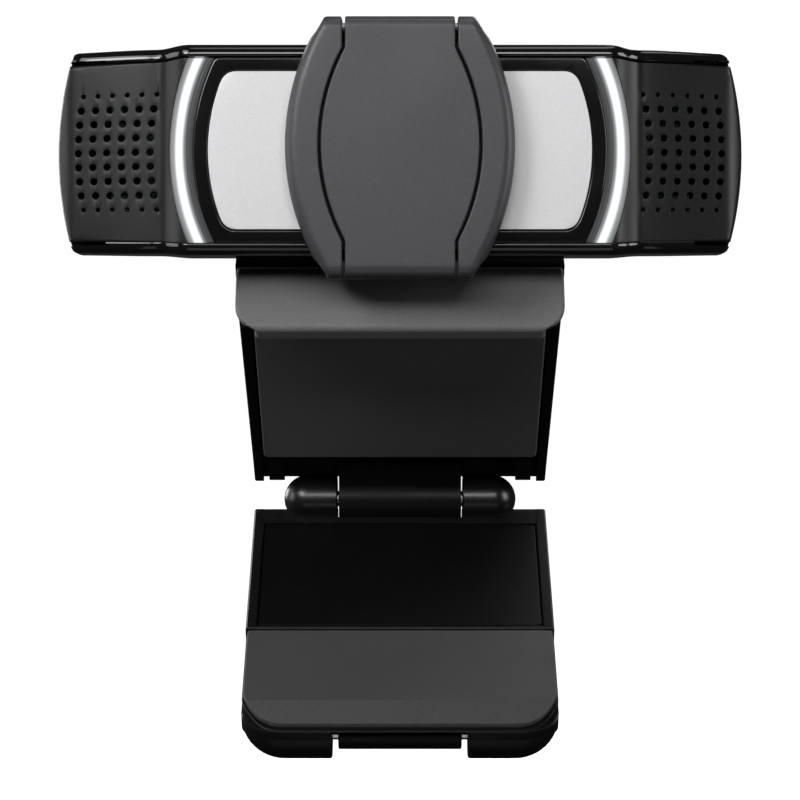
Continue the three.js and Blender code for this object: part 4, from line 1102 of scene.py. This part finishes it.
def leg_shell():
    deep, shallow = -6.2, LEG_BOTTOM + 0.02
    rail, panel = LEG_TOP, -1.4
    nose = 3  # radius of the underside's end at the hinge
    rows = [
        (LEG_START, rail - 0.5, rail - 0.45, -5.2, -5.2),
        (LEG_START + 0.35, rail - 0.12, rail - 0.1, -5.4, -5.4),
    ]
    for turn in quarter_turns(6)[1:]:
        s = LEG_START + nose * (1 - math.cos(turn)) + 0.4
        low = LEG_BOTTOM + nose * (1 - math.sin(turn))
        top = rail - 0.1 * (1 - math.sin(min(math.pi / 2, turn * 1.6)))
        rows.append((s, top - 0.02, top, low + 0.02, low))
    rows += [
        (6.0, rail - 0.02, rail, shallow), (6.01, panel, rail, shallow), (7.0, panel, rail, shallow),
        (7.01, panel, rail, deep), (33.0, panel, rail, deep), (33.01, rail - 0.02, rail, deep),
        (33.45, rail - 0.02, rail, deep), (33.6, rail - 0.17, rail - 0.15, deep),
        (33.61, FOOT_FLOOR - 0.02, FOOT_FLOOR, deep), (48.7, FOOT_FLOOR - 0.02, FOOT_FLOOR, deep),
        (48.71, FOOT_FLOOR - 0.02, FOOT_FLOOR, shallow),
        (LEG_END, FOOT_FLOOR - 0.02, FOOT_FLOOR, shallow),
    ]
    bm = loft_mesh([leg_section(*row) for row in rows])
    piece = make("leg_body", bm, ON_LEG, SATIN, ["leg_shell"])
    reach = KNUCKLE_HALF + 0.32
    boolean(piece, rod(-reach, reach, 4.3, (0, 0, 0), "x", 72), LEG)
    boolean(piece, rod(-12, -3.1, 4.5, (0, -TRIPOD_S, 0), "z", 64), LEG)


def leg_hinges():
    """Balls beside the plate's knuckle, and the tab that carries the foot."""
    y, z = FOOT_HINGE.y, FOOT_HINGE.z
    root = 0.6 - LEG_END
    tab = arc((y, z), TAB_R, 90, 270, 24) + [(root, z - TAB_R), (root, z + TAB_R)]
    bm = prism_mesh([tab, circle((y, z), 1.05, 24)], -TAB_HALF, TAB_HALF, 0.25, "side")
    make("leg_tab", bm, ON_LEG, SATIN)
    near = KNUCKLE_HALF + 0.45
    barrel = round_profile([(near, 0), (near, BALL_R, 0.3), (BALL_X, BALL_R)])[:-1]
    ball = [(BALL_X + BALL_R * math.sin(t), BALL_R * math.cos(t)) for t in quarter_turns(20)]
    for word, side in SIDES:
        profile = [(side * along, max(0.0, r)) for along, r in barrel + ball]
        bm = turned_mesh(profile, (0, 0, 0), "x", 64)
        make(f"{word}_hinge_ball", bm, ON_LEG, GLOSS, (), BALL)


def leg_fittings():
    bm = prism_mesh([rectangle((-20.6, -32.7), (20.6, -6.3), 0.6)], -1.1, -0.7, 0.1, "top")
    make("leg_inner_panel", bm, ON_LEG, GLOSS, ["leg_panel"], PANEL)
    loops = [rectangle((-19.7, -48.4), (19.7, -7.3), 1.2), circle((0, -TRIPOD_S), 4.45, 60)]
    for _, side in SIDES:
        loops += [circle((side * COVER_SCREW_X, -s), 1.75, 32) for _, s in COVER_SCREWS]
    bm = prism_mesh(loops, LEG_BOTTOM, -6.5, 0.25, "top")
    make("leg_bottom_cover", bm, ON_LEG, SATIN, ["leg_cover"])
    pitch, bore = 1.27, 2.65
    profile = [(-7.9, 4.0), (-7.7, 4.2), (-3.4, 4.2), (-3.4, bore)]
    for i in range(int(4.2 / pitch * 2) + 1):
        profile.append((-3.5 - i * pitch / 2, bore + (0.42 if i % 2 else 0)))
    profile += [(-7.9, bore + 0.45), (-7.9, 4.0)]
    bm = turned_mesh(profile, (0, -TRIPOD_S, 0), "z", 72)
    make("tripod_thread_insert", bm, ON_LEG, "brass", ["tripod_insert"])
    for row, s in COVER_SCREWS:
        for word, side in SIDES:
            spot = Vector((side * COVER_SCREW_X, -s, LEG_BOTTOM + 0.1))
            name = f"{row}_{word}_cover"
            screw_head(f"{name}_bolt", f"{name}_screw", ON_LEG, spot, 1, 1.5, 0.6)


def foot():
    back = -FOOT_START - FOOT_HINGE.y
    plan = rectangle((-CLIP_HALF, back), (CLIP_HALF, 0.5 - LOBE_R), 0.6, FOOT_CORNER, 14)
    bm = prism_mesh([plan], 1.5, 4.0, 0.3, "top")
    for v in bm.verts:
        if v.co.z > 2.7:
            v.co.z -= 1.35 * smooth(0, 3.6, 1.2 - v.co.y)
        elif abs(v.co.x) < LOBE_INNER + 0.5 and v.co.y < 4.4:
            v.co.z += 0.95 * (1 - 0.2 * smooth(-1.0, -3.2, v.co.y))
    piece = make("foot_tray", bm, ON_FOOT, SATIN, ["foot_shell"])
    plan = rectangle((-LOBE_INNER, -4), (LOBE_INNER, 4.4))
    boolean(piece, prism_mesh([plan], -4, 2.45, 0.02, "top", steps=1), FOOT)
    straight = CLIP_HALF - 0.02 - FOOT_CORNER
    stations = [(LOBE_INNER, 0.3), (LOBE_INNER + 0.12, 0.08), (LOBE_INNER + 0.3, 0), (straight, 0)]
    stations += [(straight + FOOT_CORNER * math.sin(t), 0) for t in quarter_turns(12)[1:]]
    for word, side in SIDES:
        rings = []
        for x, shrink in stations:
            over = max(0.0, x - straight) / FOOT_CORNER
            scale = 0.04 + 0.96 * math.sqrt(max(0.0, 1 - over * over))
            rings.append([
                Vector((side * x, 2.0 + (y - 2.0) * scale, 1.9 + (z - 1.9) * scale))
                for y, z in lobe_outline(shrink)
            ])
        make(f"{word}_foot_lobe", loft_mesh(rings), ON_FOOT, SATIN)


def lobe_outline(shrink):
    """Side view of a lobe about the foot's hinge: y from the hinge, z up."""
    barrel = [(-y, z) for y, z in arc((0, 0), LOBE_R, 384, 153, 40) if z < 2.4]
    outline = anticlockwise([(3.8, 1.55), (3.8, 2.6), (-3.1, 2.55)] + barrel)
    return inset(outline, [shrink] * len(outline))


def foot_pad():
    back, half = -FOOT_START - FOOT_HINGE.y - 0.3, CLIP_HALF - 0.25
    plan = rectangle((-half, back), (half, -2.1), 0.5, FOOT_CORNER - 0.6, 14)
    bm = prism_mesh([plan], 4.25, 5.0, 0.2, "top")
    bend = 1.25  # the pad slopes down from here to its tip
    for y in (bend, 0.6, 0.0, -0.6, -1.2, -1.6, 1.45, 2.0, 4.0):
        cut_across(bm, (0, y, 0), (0, 1, 0))
    for v in bm.verts:
        v.co.z -= max(0.0, bend - v.co.y) * (1.5 / 3.25 if v.co.z > 4.6 else 1.35 / 2.8)
    make("foot_grip_pad", bm, ON_FOOT, "pad_rubber", ["foot_pad"], FOOT_PAD)


# ---- stage
WHITE = (1, 1, 1, 1)
# name: place in the HEAD frame, size, power in watts
LAMPS = {
    "key_softbox": ((-330, -330, 280), (260, 240), 1.0),
    "front_softbox": ((0, -500, 170), (400, 110), 1.25),
    "left_softbox": ((-190, -240, 105), (120, 90), 0.42),
    "right_softbox": ((460, -120, 60), (200, 220), 0.8),
    "left_edge_softbox": ((-420, 20, 60), (200, 260), 0.5),
    "back_softbox": ((260, 480, 320), (360, 300), 1.6),
    "back_left_softbox": ((-400, 420, 120), (220, 300), 1.5),
    "top_softbox": ((60, -60, 460), (360, 160), 0.4),
    "table_bounce": ((0, -280, -300), (420, 200), 0.17),
}


def camera():
    data = bpy.data.cameras.new("camera")
    data.sensor_width = 36
    data.lens = 131.9
    data.clip_start = 0.01
    made = add_object("camera", data)
    made.location = HEAD @ Vector((0, -394.3, -33.6))
    made.rotation_euler = (math.pi / 2, 0, 0)
    bpy.context.scene.camera = made


def pale_floor():
    """Floor well below the clip, seen by the camera only."""
    bm = bmesh.new()
    bmesh.ops.create_grid(bm, x_segments=8, y_segments=8, size=6)
    floor = mesh_object("floor", bm, Matrix())
    floor.location.z = cad_bounds[0][2] - 0.045
    looks = {"Specular IOR Level": 0.1, "Emission Color": WHITE, "Emission Strength": 1.1}
    floor.data.materials.append(surface(
        "pale_floor", (0.6, 0.6, 0.6), (0.85, 0.95), (60, 0.02, 0.0001), (6, 0.005), 12, inputs=looks
    ))
    floor.visible_diffuse = False
    floor.visible_glossy = False


def studio_light():
    """White world to the camera, nearly dark to the object, and the lamps."""
    world = bpy.data.worlds.new("studio")
    world.use_nodes = True
    tree = world.node_tree
    seen = tree.nodes["Background"]
    seen.inputs["Color"].default_value = WHITE
    seen.inputs["Strength"].default_value = 1.05
    lit = add_node(tree, "Background", {"Color": WHITE, "Strength": 0.035})
    path = add_node(tree, "LightPath")
    mix = add_node(tree, "MixShader")
    wire(
        tree, (path, "Is Camera Ray", mix, "Fac"), (lit, "Background", mix, 1),
        (seen, "Background", mix, 2), (mix, "Shader", tree.nodes["World Output"], "Surface"),
    )
    bpy.context.scene.world = world
    for name, (place, size, power) in LAMPS.items():
        lamp = bpy.data.lights.new(name, "AREA")
        lamp.shape = "RECTANGLE"
        lamp.size, lamp.size_y = size[0] * MM, size[1] * MM
        lamp.energy = power
        holder = add_object(name, lamp)
        holder.location = HEAD @ Vector(place)
        aim = HEAD @ Vector((0, 0, -20)) - holder.location
        holder.rotation_euler = aim.to_track_quat("-Z", "Y").to_euler()
    bpy.context.scene.view_settings.view_transform = "Standard"


# ---- build
rear_housing()
tilt_lugs()
front_bezel()
grilles()
light_bars()
lens_stack()
gland()
shutter_frame()
seam_shade_strips()
shutter_flap()
lip()
clip_plate()
ridges()
pads()
tilt_hinge()
neck_screws()
leg_shell()
leg_hinges()
leg_fittings()
foot()
foot_pad()
camera()
pale_floor()
studio_light()
